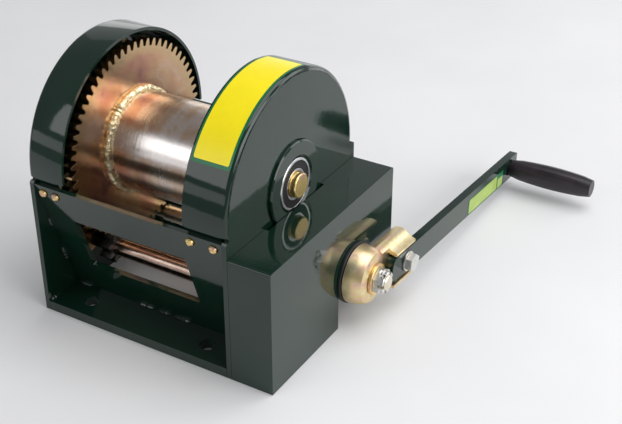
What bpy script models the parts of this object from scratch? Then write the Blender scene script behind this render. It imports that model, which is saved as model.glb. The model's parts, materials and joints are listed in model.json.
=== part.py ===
"""Hand crank trailer winch with an enclosed gear case, as separate parts.

Axes: X runs along the drum axis (crank side is +X), Y runs from the front
panel to the back, Z is up.  Lengths in the constants are millimetres measured
from the frame's front left bottom corner; everything is moved so that the
origin is the centre of the front base strip's underside and turned into
metres when the meshes are made.
"""
import math
import bpy
import bmesh
from mathutils import Vector, Matrix
from mathutils.geometry import tessellate_polygon

for _o in list(bpy.data.objects):
    bpy.data.objects.remove(_o, do_unlink=True)

# ---------------------------------------------------------------- dimensions
MM = 0.001
GAP = 0.3                    # air between neighbouring parts

FRAME_W = 223.0              # over the two side plates
FRAME_D = 226.0              # front to back
PLATE_T = 5.0                # side plates, front panel and rear panel
BASE_T = 10.0                # base strips
STRIP_D = 52.0               # depth of each base strip
SHOULDER_Z = 145.5           # side plate and rear panel height
PANEL_TOP_Z = 143.5
PANEL_FOOT_Y = 43.4          # how far the panel slopes back at its foot
HOLE_HALF = 70.0             # base holes either side of the middle
HOLE_Y = 21.5
HOLE_R = 8.0

DRUM_Y, DRUM_Z = 110.5, 153.0
COVER_R = 110.5
COVER_T = 3.0
COVER_LIP = 4.5
COVER_LEFT_W = 41.5
COVER_RIGHT_W = 46.1
PLATE_R = 105.9              # round top of the side plates
COVER_END_Z = 150.6          # where the covers' round part stops

BRG_R, BRG_BORE_R, BRG_W = 26.0, 12.5, 15.0     # 25 x 52 x 15 ball bearing
HOUSING_R = 42.6
HOUSING_PROUD = 3.4

DRUM_R, DRUM_WALL = 50.0, 6.0
GEAR_X0, GEAR_X1 = 34.0, 44.0
FLANGE_X0, FLANGE_X1, FLANGE_R = 198.0, 204.0, 94.0
SHAFT_R = 15.0
SHAFT_END_R = BRG_BORE_R

DRUM_MOD, DRUM_TEETH, DRUM_PINION = 3.175, 62, 8
DRUM_SHIFT = 0.50            # long addendum pinion, short addendum gear
PINION_TOPPING = 0.45        # taken off the small pinion's pointed tips
CASE_MOD, CP_TEETH, IG_TEETH, IP_TEETH, SG_TEETH = 2.5, 12, 28, 12, 34
CASE_SHIFT = 0.30
BACKLASH = 0.34

CRANK_Y, CRANK_Z = 146.3, 50.9
CASE_W = 44.8
CASE_H = 129.5
CASE_WALL = 3.0
NOTCH_Y, NOTCH_Z = 118.6, 38.1
CASE_LOBE_R = 30.5

PINION_X0, PINION_X1 = 33.0, 45.0
COUNTER_R = 9.4              # countershaft between the side plates
COUNTER_NECK = 7.5           # its left end, which carries the drum pinion
PLANE_A = (227.0, 236.6)     # idler pinion and countershaft wheel
PLANE_B = (237.6, 247.0)     # crank pinion and idler wheel
RATCHET_TEETH, RATCHET_R, RATCHET_ROOT = 12, 26.0, 21.6
RATCHET_REST = math.radians(5.5)   # a steep face stops this far short of the pawl

ARM_DROP = math.atan(0.0771)   # the arm points back and a little down
ARM_W, ARM_T = 27.0, 9.0
ARM_START, ARM_END = 18.6, 336.5
GRIP_AT = 320.0
GRIP_LEN = 97.0

ORIGIN = Vector((FRAME_W / 2, HOLE_Y, 0.0))


# ---------------------------------------------------------------- materials
def material(name, rgb, rough, metallic):
    m = bpy.data.materials.new(name)
    m.use_nodes = True
    b = m.node_tree.nodes["Principled BSDF"]
    b.inputs["Base Color"].default_value = (rgb[0], rgb[1], rgb[2], 1.0)
    b.inputs["Roughness"].default_value = rough
    b.inputs["Metallic"].default_value = metallic
    m.diffuse_color = (rgb[0], rgb[1], rgb[2], 1.0)
    return m


GREEN = ((0.013, 0.032, 0.022), 0.18, 0.0)
GOLD = ((0.72, 0.50, 0.27), 0.34, 1.0)
ZINC = ((0.66, 0.68, 0.70), 0.32, 1.0)
STEEL = ((0.45, 0.45, 0.46), 0.35, 1.0)
DARKSTEEL = ((0.16, 0.16, 0.17), 0.45, 1.0)
BRONZE = ((0.48, 0.30, 0.13), 0.40, 1.0)
FRICTION = ((0.10, 0.075, 0.06), 0.85, 0.0)
BLACK = ((0.012, 0.012, 0.013), 0.45, 0.0)


# ---------------------------------------------------------------- mesh tools
def tidy(bm):
    """Weld doubles and make every face look outwards."""
    bmesh.ops.remove_doubles(bm, verts=bm.verts[:], dist=0.0005)
    bmesh.ops.recalc_face_normals(bm, faces=bm.faces[:])
    if bm.calc_volume(signed=True) < 0.0:
        bmesh.ops.reverse_faces(bm, faces=bm.faces[:])


def finish(name, bm, look, pivot=None, angle=32.0):
    """Turn a bmesh in millimetres into a named object with its own material."""
    tidy(bm)
    p = Vector(pivot) if pivot is not None else ORIGIN
    for v in bm.verts:
        v.co = (v.co - p) * MM
    me = bpy.data.meshes.new(name)
    bm.to_mesh(me)
    bm.free()
    for poly in me.polygons:
        poly.use_smooth = True
    me.set_sharp_from_angle(angle=math.radians(angle))
    ob = bpy.data.objects.new(name, me)
    bpy.context.scene.collection.objects.link(ob)
    ob.location = (p - ORIGIN) * MM
    me.materials.append(material(name, *look))
    return ob


def to_world(points, x, frame):
    """Local 2-D points plus a depth along the axis, through a frame."""
    return [frame @ Vector((x, a, b)) for a, b in points]


IDENT = Matrix.Identity(4)


def prism(bm, loops, x0, x1, frame=IDENT):
    """Extrude a flat outline, with optional holes, from depth x0 to x1."""
    flat = [[Vector((a, b, 0.0)) for a, b in lp] for lp in loops]
    tris = tessellate_polygon(flat)
    pts = [p for lp in loops for p in lp]
    lo = [bm.verts.new(v) for v in to_world(pts, x0, frame)]
    hi = [bm.verts.new(v) for v in to_world(pts, x1, frame)]
    for t in tris:
        if len(set(t)) == 3:
            bm.faces.new([lo[i] for i in t])
            bm.faces.new([hi[i] for i in reversed(t)])
    base = 0
    for lp in loops:
        n = len(lp)
        for i in range(n):
            j = (i + 1) % n
            bm.faces.new((lo[base + i], lo[base + j], hi[base + j], hi[base + i]))
        base += n


def circle(cy, cz, r, n, phase=0.0):
    return [(cy + r * math.cos(phase + 2 * math.pi * i / n),
             cz + r * math.sin(phase + 2 * math.pi * i / n)) for i in range(n)]


def arc(cy, cz, r, a0, a1, n):
    return [(cy + r * math.cos(math.radians(a0 + (a1 - a0) * i / n)),
             cz + r * math.sin(math.radians(a0 + (a1 - a0) * i / n))) for i in range(n + 1)]


def lathe(bm, profile, cy, cz, n, a0=0.0, a1=360.0, frame=IDENT):
    """Revolve a closed (depth, radius) outline about the X direction."""
    full = abs(a1 - a0 - 360.0) < 1e-6
    steps = n if full else n + 1
    rings = []
    for k in range(steps):
        a = math.radians(a0 + (a1 - a0) * k / n)
        row = []
        for x, r in profile:
            if r < 1e-6 and k > 0:
                row.append(rings[0][len(row)])
            else:
                row.append(bm.verts.new(frame @ Vector((x, cy + r * math.cos(a), cz + r * math.sin(a)))))
        rings.append(row)
    m = len(profile)
    for k in range(n):
        A, B = rings[k], rings[(k + 1) % steps]
        for i in range(m):
            j = (i + 1) % m
            q = []
            for v in (A[i], A[j], B[j], B[i]):
                if v not in q:
                    q.append(v)
            if len(q) >= 3:
                bm.faces.new(q)
    if not full:
        for row in (rings[0], rings[-1]):
            for t in tessellate_polygon([[Vector((x, r, 0.0)) for x, r in profile]]):
                bm.faces.new([row[i] for i in t])


def box(bm, x0, x1, y0, y1, z0, z1, frame=IDENT):
    prism(bm, [[(y0, z0), (y1, z0), (y1, z1), (y0, z1)]], x0, x1, frame)


def scratch(bm):
    """A throw-away object in millimetres, used to join or cut shapes."""
    tidy(bm)
    me = bpy.data.meshes.new("scratch")
    bm.to_mesh(me)
    bm.free()
    ob = bpy.data.objects.new("scratch", me)
    bpy.context.scene.collection.objects.link(ob)
    return ob


def combine(first, others):
    """Join ('UNION') or cut ('DIFFERENCE') solids; returns a bmesh."""
    a = scratch(first)
    for op, bm in others:
        b = scratch(bm)
        mod = a.modifiers.new("b", 'BOOLEAN')
        mod.operation = op
        mod.solver = 'EXACT'
        mod.object = b
        dg = bpy.context.evaluated_depsgraph_get()
        me = bpy.data.meshes.new_from_object(a.evaluated_get(dg))
        a.modifiers.clear()
        a.data = me
        bpy.data.objects.remove(b, do_unlink=True)
    out = bmesh.new()
    out.from_mesh(a.data)
    bpy.data.objects.remove(a, do_unlink=True)
    bmesh.ops.dissolve_degenerate(out, dist=0.0005, edges=out.edges[:])
    return out


def gear_outline(cy, cz, teeth, mod, shift, phase, flank=4, backlash=BACKLASH, topping=0.0):
    """Involute spur outline, pressure angle 20 degrees.

    shift is the profile shift; the root is cut 1.25 modules below the pitch
    line and the tip is one module above it, both moved by the shift.
    """
    al = math.radians(20.0)
    r = mod * teeth / 2
    rb = r * math.cos(al)
    tip = r + (1.0 + shift) * mod - topping
    root = r - (1.25 - shift) * mod
    inv = lambda t: math.tan(t) - t
    half = (math.pi / 2 + 2 * shift * math.tan(al)) / teeth - backlash / (4 * r)

    def width(rr):
        rr = max(rr, rb)
        return half + inv(al) - inv(math.acos(rb / rr))
    start = max(root, rb)
    radii = []
    if root < rb - 0.05:
        radii.append(root)
    radii += [start + (tip - start) * i / flank for i in range(flank + 1)]
    pts = []
    for k in range(teeth):
        c = phase + 2 * math.pi * k / teeth
        for rr in radii:
            a = c - width(rr)
            pts.append((cy + rr * math.cos(a), cz + rr * math.sin(a)))
        for rr in reversed(radii):
            a = c + width(rr)
            pts.append((cy + rr * math.cos(a), cz + rr * math.sin(a)))
    return pts


def around(cy, cz, ang):
    """Frame whose local Y runs along the given direction in the YZ plane."""
    return Matrix.Translation((0.0, cy, cz)) @ Matrix.Rotation(ang, 4, 'X')


def along_y(x, z):
    """Frame for parts turned about the Y direction: local X depth runs +Y."""
    m = Matrix(((0, 1, 0, x), (1, 0, 0, 0), (0, 0, -1, z), (0, 0, 0, 1)))
    return m


# ---------------------------------------------------------------- gear train
# The countershaft stands one drum mesh below the drum, swung to the front.
DRUM_CD = DRUM_MOD * (DRUM_TEETH + DRUM_PINION) / 2
SWING = math.radians(23.8)
CS_Y = DRUM_Y - DRUM_CD * math.sin(SWING)
CS_Z = DRUM_Z - DRUM_CD * math.cos(SWING)
# The idler sits where both case meshes close, above the line joining the shafts.
CD_A = CASE_MOD * (CP_TEETH + IG_TEETH) / 2
CD_B = CASE_MOD * (IP_TEETH + SG_TEETH) / 2
_dy, _dz = CS_Y - CRANK_Y, CS_Z - CRANK_Z
_d = math.hypot(_dy, _dz)
_a = (CD_A ** 2 - CD_B ** 2 + _d ** 2) / (2 * _d)
_h = math.sqrt(CD_A ** 2 - _a ** 2)
ID_Y = CRANK_Y + _a * _dy / _d + _h * _dz / _d
ID_Z = CRANK_Z + _a * _dz / _d - _h * _dy / _d

DRUM_C = (0.0, DRUM_Y, DRUM_Z)
CS_C = (0.0, CS_Y, CS_Z)
ID_C = (0.0, ID_Y, ID_Z)
CR_C = (0.0, CRANK_Y, CRANK_Z)


def heading(a, b):
    return math.atan2(b[2] - a[2], b[1] - a[1])


# tooth of the smaller wheel faces a gap of the larger wheel on each centre line
PH_DRUM = heading(DRUM_C, CS_C) + math.pi / DRUM_TEETH
PH_DP = heading(CS_C, DRUM_C)
PH_IG = heading(ID_C, CR_C) + math.pi / IG_TEETH
PH_CP = heading(CR_C, ID_C)
PH_SG = heading(CS_C, ID_C) + math.pi / SG_TEETH
PH_IP = heading(ID_C, CS_C)


# ---------------------------------------------------------------- frame plates
def plate_outline():
    a = math.degrees(math.asin((SHOULDER_Z - DRUM_Z) / PLATE_R))
    pts = [(0.0, 0.0), (FRAME_D, 0.0), (FRAME_D, SHOULDER_Z - 1.0), (FRAME_D - 1.0, SHOULDER_Z)]
    pts += arc(DRUM_Y, DRUM_Z, PLATE_R, a, 180.0 - a, 40)
    pts += [(1.5, SHOULDER_Z), (0.0, PANEL_TOP_Z)]
    return pts


BUSH_R = 14.0
CASE_SCREWS = [(13.0, 18.0), (28.5, 116.5), (212.5, 116.5), (212.5, 51.1)]

holes = [circle(DRUM_Y, DRUM_Z, HOUSING_R + GAP, 36), circle(CS_Y, CS_Z, BUSH_R + GAP, 20),
         circle(CRANK_Y, CRANK_Z, BUSH_R + GAP, 20)]
bm = bmesh.new()
prism(bm, [plate_outline()] + holes, 0.0, PLATE_T)
finish("side_plate_left", bm, GREEN)
bm = bmesh.new()
prism(bm, [plate_outline()] + holes + [circle(ID_Y, ID_Z, 6.0 + GAP, 16)]
      + [circle(y, z, 3.3, 10) for y, z in CASE_SCREWS], FRAME_W - PLATE_T, FRAME_W)
finish("side_plate_right", bm, GREEN)

IN0, IN1 = PLATE_T + GAP, FRAME_W - PLATE_T - GAP
FRONT_SCREWS = [13.3, 28.0, 182.4, 207.4]
SCREW_R, SCREW_HEAD_R = 2.5, 4.6
SLOPE = math.atan2(PANEL_FOOT_Y, PANEL_TOP_Z - BASE_T)
SLOPE_LEN = math.hypot(PANEL_FOOT_Y, PANEL_TOP_Z - BASE_T)
SCREW_DOWN = 9.6             # screw centres below the panel's top edge

# Panel frame: local X is the way through the plate (back and up), local Y is
# across (-X of the winch), local Z runs up the slope.  Origin at the top edge.
PANEL = Matrix.Translation((0.0, 0.0, PANEL_TOP_Z)) @ Matrix((
    (0, 1, 0, 0),
    (math.cos(SLOPE), 0, -math.sin(SLOPE), 0),
    (math.sin(SLOPE), 0, math.cos(SLOPE), 0),
    (0, 0, 0, 1)))
WIN_X0, WIN_X1 = 39.0, 168.2
WIN_TOP, WIN_BOT = 39.0, 101.5      # measured down the slope


def rounded(x0, x1, z0, z1, r, n=3):
    pts = arc(x1 - r, z0 + r, r, -90, 0, n) + arc(x1 - r, z1 - r, r, 0, 90, n)
    pts += arc(x0 + r, z1 - r, r, 90, 180, n) + arc(x0 + r, z0 + r, r, 180, 270, n)
    return pts


def front_panel_mesh():
    rise = PLATE_T * math.tan(SLOPE)
    body = bmesh.new()
    outer = [(IN0, -SLOPE_LEN - 4.0), (IN1, -SLOPE_LEN - 4.0), (IN1, 4.0), (IN0, 4.0)]
    prism(body, [outer, rounded(WIN_X0, WIN_X1, -WIN_BOT, -WIN_TOP, 2.0)]
          + [circle(x, -SCREW_DOWN, SCREW_R + GAP, 12) for x in FRONT_SCREWS], 0.0, PLATE_T, PANEL)
    top = bmesh.new()
    box(top, -5, FRAME_W + 5, -20, 30, PANEL_TOP_Z, PANEL_TOP_Z + 20)
    foot = bmesh.new()
    box(foot, -5, FRAME_W + 5, 20, 80, -20, BASE_T + GAP)
    return combine(body, [('DIFFERENCE', top), ('DIFFERENCE', foot)])


finish("front_panel", front_panel_mesh(), GREEN)

# Rear panel: upright, with its own window.
REAR = Matrix(((0, 1, 0, 0), (1, 0, 0, 0), (0, 0, 1, 0), (0, 0, 0, 1)))
REAR_SCREW_X = (20.0, 195.0)
REAR_SCREW_Z = 136.0
bm = bmesh.new()
prism(bm, [[(IN0, BASE_T + GAP), (IN1, BASE_T + GAP), (IN1, SHOULDER_Z), (IN0, SHOULDER_Z)],
           rounded(45.0, 178.0, 44.0, 106.0, 4.0)]
      + [circle(x, REAR_SCREW_Z, SCREW_R + GAP, 12) for x in REAR_SCREW_X],
      FRAME_D - PLATE_T, FRAME_D, REAR)
finish("rear_panel", bm, GREEN)

UP = Matrix(((0, 1, 0, 0), (0, 0, 1, 0), (1, 0, 0, 0), (0, 0, 0, 1)))   # local (z, x, y)
MID = FRAME_W / 2
for nm, y0, hy in (("base_strip_front", 0.0, HOLE_Y), ("base_strip_rear", FRAME_D - STRIP_D, FRAME_D - HOLE_Y)):
    bm = bmesh.new()
    prism(bm, [[(IN0, y0), (IN1, y0), (IN1, y0 + STRIP_D), (IN0, y0 + STRIP_D)],
               circle(MID - HOLE_HALF, hy, HOLE_R, 20), circle(MID + HOLE_HALF, hy, HOLE_R, 20)],
          0.0, BASE_T, UP)
    finish(nm, bm, GREEN)


# ---------------------------------------------------------------- covers
def cover_profile(width):
    """Band, rounded outer lip, open inner edge; depth runs inward."""
    r0 = COVER_R - COVER_LIP
    pts = [(width, COVER_R - COVER_T), (width, COVER_R)]
    pts += [(COVER_LIP - COVER_LIP * math.sin(math.radians(t)), r0 + COVER_LIP * math.cos(math.radians(t)))
            for t in (0, 30, 60, 86)]
    pts += [(0.02, PLATE_R + GAP), (PLATE_T + GAP, PLATE_R + GAP), (PLATE_T + GAP, COVER_R - COVER_T)]
    return pts


def cover(name, width, mirror, tab0, tab1, screws, rear_x):
    """Half-round cover with a front tab and a rear tab that tuck inside."""
    def xx(d):
        return FRAME_W - d if mirror else d
    prof = [(xx(x), r) for x, r in cover_profile(width)]
    if mirror:
        prof.reverse()
    ring = bmesh.new()
    drop = math.degrees(math.asin((DRUM_Z - COVER_END_Z) / COVER_R))
    lathe(ring, prof, DRUM_Y, DRUM_Z, 32, -drop, 180.0 + drop)
    a, b = sorted((xx(tab0), xx(tab1)))
    # front tab: short shelf under the band, then a strip behind the panel
    back = PLATE_T + GAP
    strip = bmesh.new()
    prism(strip, [[(a, -20.0), (b, -20.0), (b, 9.0), (a, 9.0)]] + [circle(x, -SCREW_DOWN, SCREW_R + GAP, 12) for x in screws],
          back, back + COVER_T, PANEL)
    shelf = bmesh.new()
    box(shelf, a, b, 1.0, back + 5.0, 149.4, 152.2)
    # rear tab: straight strip inside the rear panel
    rb = FRAME_D - PLATE_T - GAP
    rear = bmesh.new()
    prism(rear, [[(a, 126.0), (b, 126.0), (b, 153.0), (a, 153.0)], circle(rear_x, REAR_SCREW_Z, SCREW_R + GAP, 12)],
          rb - COVER_T, rb, REAR)
    return finish(name, combine(ring, [('UNION', shelf), ('UNION', strip), ('UNION', rear)]), GREEN)


cover("left_cover", COVER_LEFT_W, False, 6.5, 32.2, FRONT_SCREWS[:2], REAR_SCREW_X[0])
cover("right_cover", COVER_RIGHT_W, True, 8.0, 44.0, FRONT_SCREWS[2:], REAR_SCREW_X[1])


def turned(profile):
    """Close a turned outline on its axis."""
    return [(profile[0][0], 0.0)] + profile + [(profile[-1][0], 0.0)]


def pan_head(name, frame, x0, shank_end):
    """Low domed head with a driver recess, plain shank."""
    head = [(x0 - 0.3, SCREW_HEAD_R), (x0 - 1.8, SCREW_HEAD_R - 0.6), (x0 - 3.0, SCREW_HEAD_R - 2.4), (x0 - 3.0, 1.5)]
    prof = [(x0 - 1.4, 0.0)] + list(reversed(head)) + [(x0 - 0.3, SCREW_R), (shank_end, SCREW_R), (shank_end, 0.0)]
    b = bmesh.new()
    lathe(b, prof, 0.0, 0.0, 14, frame=frame)
    return finish(name, b, GOLD)


for i, x in enumerate(FRONT_SCREWS):
    pan_head("cover_screw_front_%d" % (i + 1), PANEL @ Matrix.Translation((0.0, x, -SCREW_DOWN)), 0.0, PLATE_T + COVER_T + 1.0)
for i, x in enumerate(REAR_SCREW_X):
    flip = REAR @ Matrix.Translation((FRAME_D, x, REAR_SCREW_Z)) @ Matrix.Rotation(math.pi, 4, 'Z')
    pan_head("cover_screw_rear_%d" % (i + 1), flip, 0.0, PLATE_T + COVER_T + 1.0)


# ---------------------------------------------------------------- drum bearings
def mirrored(prof, side):
    """Profiles are drawn for the crank side; side -1 gives the far side."""
    if side > 0:
        return [(FRAME_W + x, r) for x, r in prof]
    return [(-x, r) for x, r in reversed(prof)]


HP = HOUSING_PROUD
BRG_OUT = HP - 0.6            # outer face of the bearing from the plate face
BRG_IN = BRG_OUT - BRG_W
for nm, s in (("left", -1), ("right", 1)):
    bm = bmesh.new()
    lathe(bm, mirrored([(HP - 1.4, HOUSING_R), (HP, HOUSING_R - 1.4), (HP, BRG_R + 2.2), (HP - 2.0, BRG_R + 0.05),
                        (BRG_IN - GAP, BRG_R + 0.05), (BRG_IN - GAP, BRG_R - 3.5), (BRG_IN - 3.5, BRG_R - 3.5),
                        (BRG_IN - 3.5, HOUSING_R)], s), DRUM_Y, DRUM_Z, 32)
    finish("bearing_housing_" + nm, bm, GREEN)
    ro, ri = BRG_R - GAP, BRG_BORE_R + 0.05
    bm = bmesh.new()
    lathe(bm, mirrored([(BRG_OUT, ro - 0.6), (BRG_OUT, 22.9), (BRG_IN, 22.9), (BRG_IN, ro), (BRG_OUT - 0.6, ro)], s), DRUM_Y, DRUM_Z, 28)
    finish("bearing_outer_ring_" + nm, bm, STEEL)
    bm = bmesh.new()
    lathe(bm, mirrored([(BRG_OUT, ri + 0.6), (BRG_OUT - 0.6, ri), (BRG_IN, ri), (BRG_IN, 15.4), (BRG_OUT, 15.4)], s), DRUM_Y, DRUM_Z, 28)
    finish("bearing_inner_ring_" + nm, bm, STEEL, pivot=DRUM_C)
    bm = bmesh.new()
    lathe(bm, mirrored([(BRG_OUT - 0.4, 15.75), (BRG_OUT - 1.8, 15.75), (BRG_OUT - 1.8, 22.6), (BRG_OUT - 0.4, 22.6), (BRG_OUT - 0.7, 19.2)], s),
          DRUM_Y, DRUM_Z, 28)
    finish("bearing_seal_" + nm, bm, BLACK)

# ---------------------------------------------------------------- drum
END_X = FRAME_W + 9.0
bm = bmesh.new()
half = [(END_X, SHAFT_END_R - 1.0), (END_X - 1.0, SHAFT_END_R - 0.3), (FRAME_W + BRG_IN - 0.2, SHAFT_END_R - 0.3), (FRAME_W + BRG_IN - 0.2, SHAFT_R)]
lo_half = [(FRAME_W - x, r) for x, r in half]
lathe(bm, turned(lo_half + list(reversed(half))), DRUM_Y, DRUM_Z, 24)
finish("drum_shaft", bm, GOLD, pivot=DRUM_C)

bm = bmesh.new()
bx0, bx1 = GEAR_X1 + GAP, FLANGE_X0 - GAP
lathe(bm, [(bx0, DRUM_R - DRUM_WALL), (bx0, DRUM_R), (bx1, DRUM_R), (bx1, DRUM_R - DRUM_WALL)], DRUM_Y, DRUM_Z, 40)
finish("drum_barrel", bm, GOLD, pivot=DRUM_C)

bm = bmesh.new()
prism(bm, [gear_outline(DRUM_Y, DRUM_Z, DRUM_TEETH, DRUM_MOD, -DRUM_SHIFT, PH_DRUM, flank=1), circle(DRUM_Y, DRUM_Z, SHAFT_R + GAP, 24)],
      GEAR_X0, GEAR_X1)
finish("drum_gear", bm, GOLD, pivot=DRUM_C)

bm = bmesh.new()
lathe(bm, [(FLANGE_X0, SHAFT_R + GAP), (FLANGE_X0, FLANGE_R), (FLANGE_X1, FLANGE_R), (FLANGE_X1, SHAFT_R + GAP)], DRUM_Y, DRUM_Z, 40)
finish("drum_flange", bm, GOLD, pivot=DRUM_C)

# ---------------------------------------------------------------- countershaft
CS_END = 9.0                 # journal and wheel seat radius
CASE_IN = FRAME_W + CASE_W - CASE_WALL
bm = bmesh.new()
lathe(bm, [(0.6, 0.0), (0.6, COUNTER_NECK), (PINION_X1 + 0.4, COUNTER_NECK), (PINION_X1 + 0.4, COUNTER_R), (214.0, COUNTER_R), (214.0, CS_END),
           (PLANE_A[1] + 0.6, CS_END), (PLANE_A[1] + 0.6, 0.0)], CS_Y, CS_Z, 20)
finish("countershaft", bm, GOLD, pivot=CS_C)

bm = bmesh.new()
prism(bm, [gear_outline(CS_Y, CS_Z, DRUM_PINION, DRUM_MOD, DRUM_SHIFT, PH_DP, flank=3, topping=PINION_TOPPING), circle(CS_Y, CS_Z, COUNTER_NECK + GAP, 20)],
      PINION_X0, PINION_X1)
finish("countershaft_pinion", bm, GOLD, pivot=CS_C)

bm = bmesh.new()
prism(bm, [gear_outline(CS_Y, CS_Z, SG_TEETH, CASE_MOD, -CASE_SHIFT, PH_SG, flank=1), circle(CS_Y, CS_Z, CS_END + GAP, 20)], *PLANE_A)
finish("countershaft_gear", bm, DARKSTEEL, pivot=CS_C)


def bush(name, x0, x1, flange_x, r_in, cy, cz, fr=None):
    """Plain bush with a thin flange on one side."""
    fr = fr or BUSH_R + 3.0
    b = bmesh.new()
    if flange_x > x1:
        prof = [(x0, r_in), (x0, BUSH_R), (x1, BUSH_R), (x1, fr), (flange_x, fr), (flange_x, r_in)]
    else:
        prof = [(flange_x, r_in), (flange_x, fr), (x0, fr), (x0, BUSH_R), (x1, BUSH_R), (x1, r_in)]
    lathe(b, prof, cy, cz, 20)
    return finish(name, b, BRONZE)


bush("countershaft_bush_left", 0.4, PLATE_T + GAP, PLATE_T + 2.3, COUNTER_NECK + GAP, CS_Y, CS_Z)
bush("countershaft_bush_right", FRAME_W - PLATE_T - GAP, FRAME_W + 1.0, FRAME_W - PLATE_T - 2.3, CS_END + GAP, CS_Y, CS_Z)

# ---------------------------------------------------------------- idler
bm = bmesh.new()
lathe(bm, [(FRAME_W - PLATE_T + 0.2, 0.0), (FRAME_W - PLATE_T + 0.2, 6.0), (CASE_IN - GAP, 6.0), (CASE_IN - GAP, 0.0)], ID_Y, ID_Z, 16)
finish("idler_pin", bm, STEEL)

ip = bmesh.new()
prism(ip, [gear_outline(ID_Y, ID_Z, IP_TEETH, CASE_MOD, CASE_SHIFT, PH_IP, flank=1), circle(ID_Y, ID_Z, 6.0 + GAP, 16)], PLANE_A[0], PLANE_B[0] + 1.0)
ig = bmesh.new()
prism(ig, [gear_outline(ID_Y, ID_Z, IG_TEETH, CASE_MOD, -CASE_SHIFT, PH_IG, flank=1), circle(ID_Y, ID_Z, 6.0 + GAP, 16)], *PLANE_B)
finish("idler_cluster_gear", combine(ig, [('UNION', ip)]), DARKSTEEL, pivot=ID_C)

# ---------------------------------------------------------------- crank shaft
CASE_OUT = FRAME_W + CASE_W
IS_R = 10.0
NECK_R = 7.0                 # slimmer where the shaft passes the drum gear
THREAD_R = 8.0
NUT_END = 307.4
bm = bmesh.new()
lathe(bm, [(0.6, 0.0), (0.6, NECK_R), (GEAR_X1 + 1.4, NECK_R), (GEAR_X1 + 1.4, 9.0), (214.0, 9.0), (214.0, IS_R), (292.4, IS_R), (292.4, THREAD_R), (NUT_END - 1.0, THREAD_R),
           (NUT_END, THREAD_R - 1.0), (NUT_END, 0.0)], CRANK_Y, CRANK_Z, 20)
shaft = bm
pin_hole = bmesh.new()
lathe(pin_hole, [(-12.0, 0.0), (-12.0, 1.9), (12.0, 1.9), (12.0, 0.0)], 0.0, 0.0, 8,
      frame=Matrix.Translation((302.6, CRANK_Y, CRANK_Z)) @ Matrix.Rotation(math.radians(-60), 4, 'X') @ Matrix.Rotation(math.radians(90), 4, 'Z'))
finish("input_shaft", combine(shaft, [('DIFFERENCE', pin_hole)]), GOLD, pivot=CR_C)

# The pinion carries the brake's first face as a collar.
bm = bmesh.new()
prism(bm, [gear_outline(CRANK_Y, CRANK_Z, CP_TEETH, CASE_MOD, CASE_SHIFT, PH_CP, flank=1), circle(CRANK_Y, CRANK_Z, IS_R + GAP, 20)], PLANE_B[0], PLANE_B[1] + 2.0)
collar = bmesh.new()
lathe(collar, [(248.2, 10.6), (248.2, 24.5), (250.6, 24.5), (250.6, 10.6)], CRANK_Y, CRANK_Z, 28)
finish("input_pinion", combine(bm, [('UNION', collar)]), DARKSTEEL, pivot=CR_C)

bush("input_bush_left", 0.4, PLATE_T + GAP, PLATE_T + 2.3, NECK_R + GAP, CRANK_Y, CRANK_Z)
bush("input_bush_case", CASE_IN - GAP, CASE_OUT - 0.2, CASE_IN - 2.3, IS_R + GAP, CRANK_Y, CRANK_Z)


def disc(name, x0, x1, r_in, r_out, look, n=28, pivot=CR_C):
    b = bmesh.new()
    lathe(b, [(x0, r_in), (x0, r_out), (x1, r_out), (x1, r_in)], CRANK_Y, CRANK_Z, n)
    return finish(name, b, look, pivot=pivot)


disc("friction_disc_inner", 250.9, 252.7, 12.5, 24.0, FRICTION)
disc("friction_disc_outer", 257.7, 259.5, 12.5, 24.0, FRICTION)
disc("brake_pressure_plate", 259.8, 262.1, IS_R + GAP, 24.5, STEEL)


def ratchet_outline():
    """Saw teeth; every steep face looks to the rear when it is at the top.

    At rest the pawl's nose lies just behind a steep face, so it can lift.
    """
    step = 2 * math.pi / RATCHET_TEETH
    shape = ((0.0, 0.0), (0.35, 0.3), (0.65, 2.0), (0.93, RATCHET_R - RATCHET_ROOT), (0.995, RATCHET_R - RATCHET_ROOT))
    pts = []
    for k in range(RATCHET_TEETH):
        for f, h in shape:
            a = (k + f) * step - RATCHET_REST
            pts.append((CRANK_Y - (RATCHET_ROOT + h) * math.cos(a), CRANK_Z + (RATCHET_ROOT + h) * math.sin(a)))
    return pts


bm = bmesh.new()
prism(bm, [ratchet_outline(), circle(CRANK_Y, CRANK_Z, IS_R + GAP + 0.4, 20)], 253.0, 257.4)
finish("ratchet_wheel", bm, DARKSTEEL, pivot=CR_C)

# Pawl: a strut from its pin, behind and above the wheel, down to the steep
# face that stands at the top of the wheel.
PAWL_Y, PAWL_Z = CRANK_Y + 29.0, CRANK_Z + 37.0


def pawl_outline():
    nose = (CRANK_Y + 0.4, CRANK_Z + RATCHET_ROOT + 0.8)
    top = (CRANK_Y + 0.4, CRANK_Z + RATCHET_ROOT + 6.2)
    low = (CRANK_Y + 4.5, CRANK_Z + RATCHET_ROOT + 1.3)
    ang = math.degrees(math.atan2(nose[1] - PAWL_Z, nose[0] - PAWL_Y))
    eye = arc(PAWL_Y, PAWL_Z, 6.5, ang + 85, ang + 275, 12)
    return [nose, low] + eye + [top]


bm = bmesh.new()
prism(bm, [pawl_outline(), circle(PAWL_Y, PAWL_Z, 3.0 + GAP, 14)], 253.2, 257.2)
finish("pawl", bm, STEEL, pivot=(0.0, PAWL_Y, PAWL_Z))

bm = bmesh.new()
lathe(bm, [(249.0, 0.0), (249.0, 3.0), (CASE_IN - GAP, 3.0), (CASE_IN - GAP, 0.0)], PAWL_Y, PAWL_Z, 14)
finish("pawl_pin", bm, STEEL)


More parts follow.
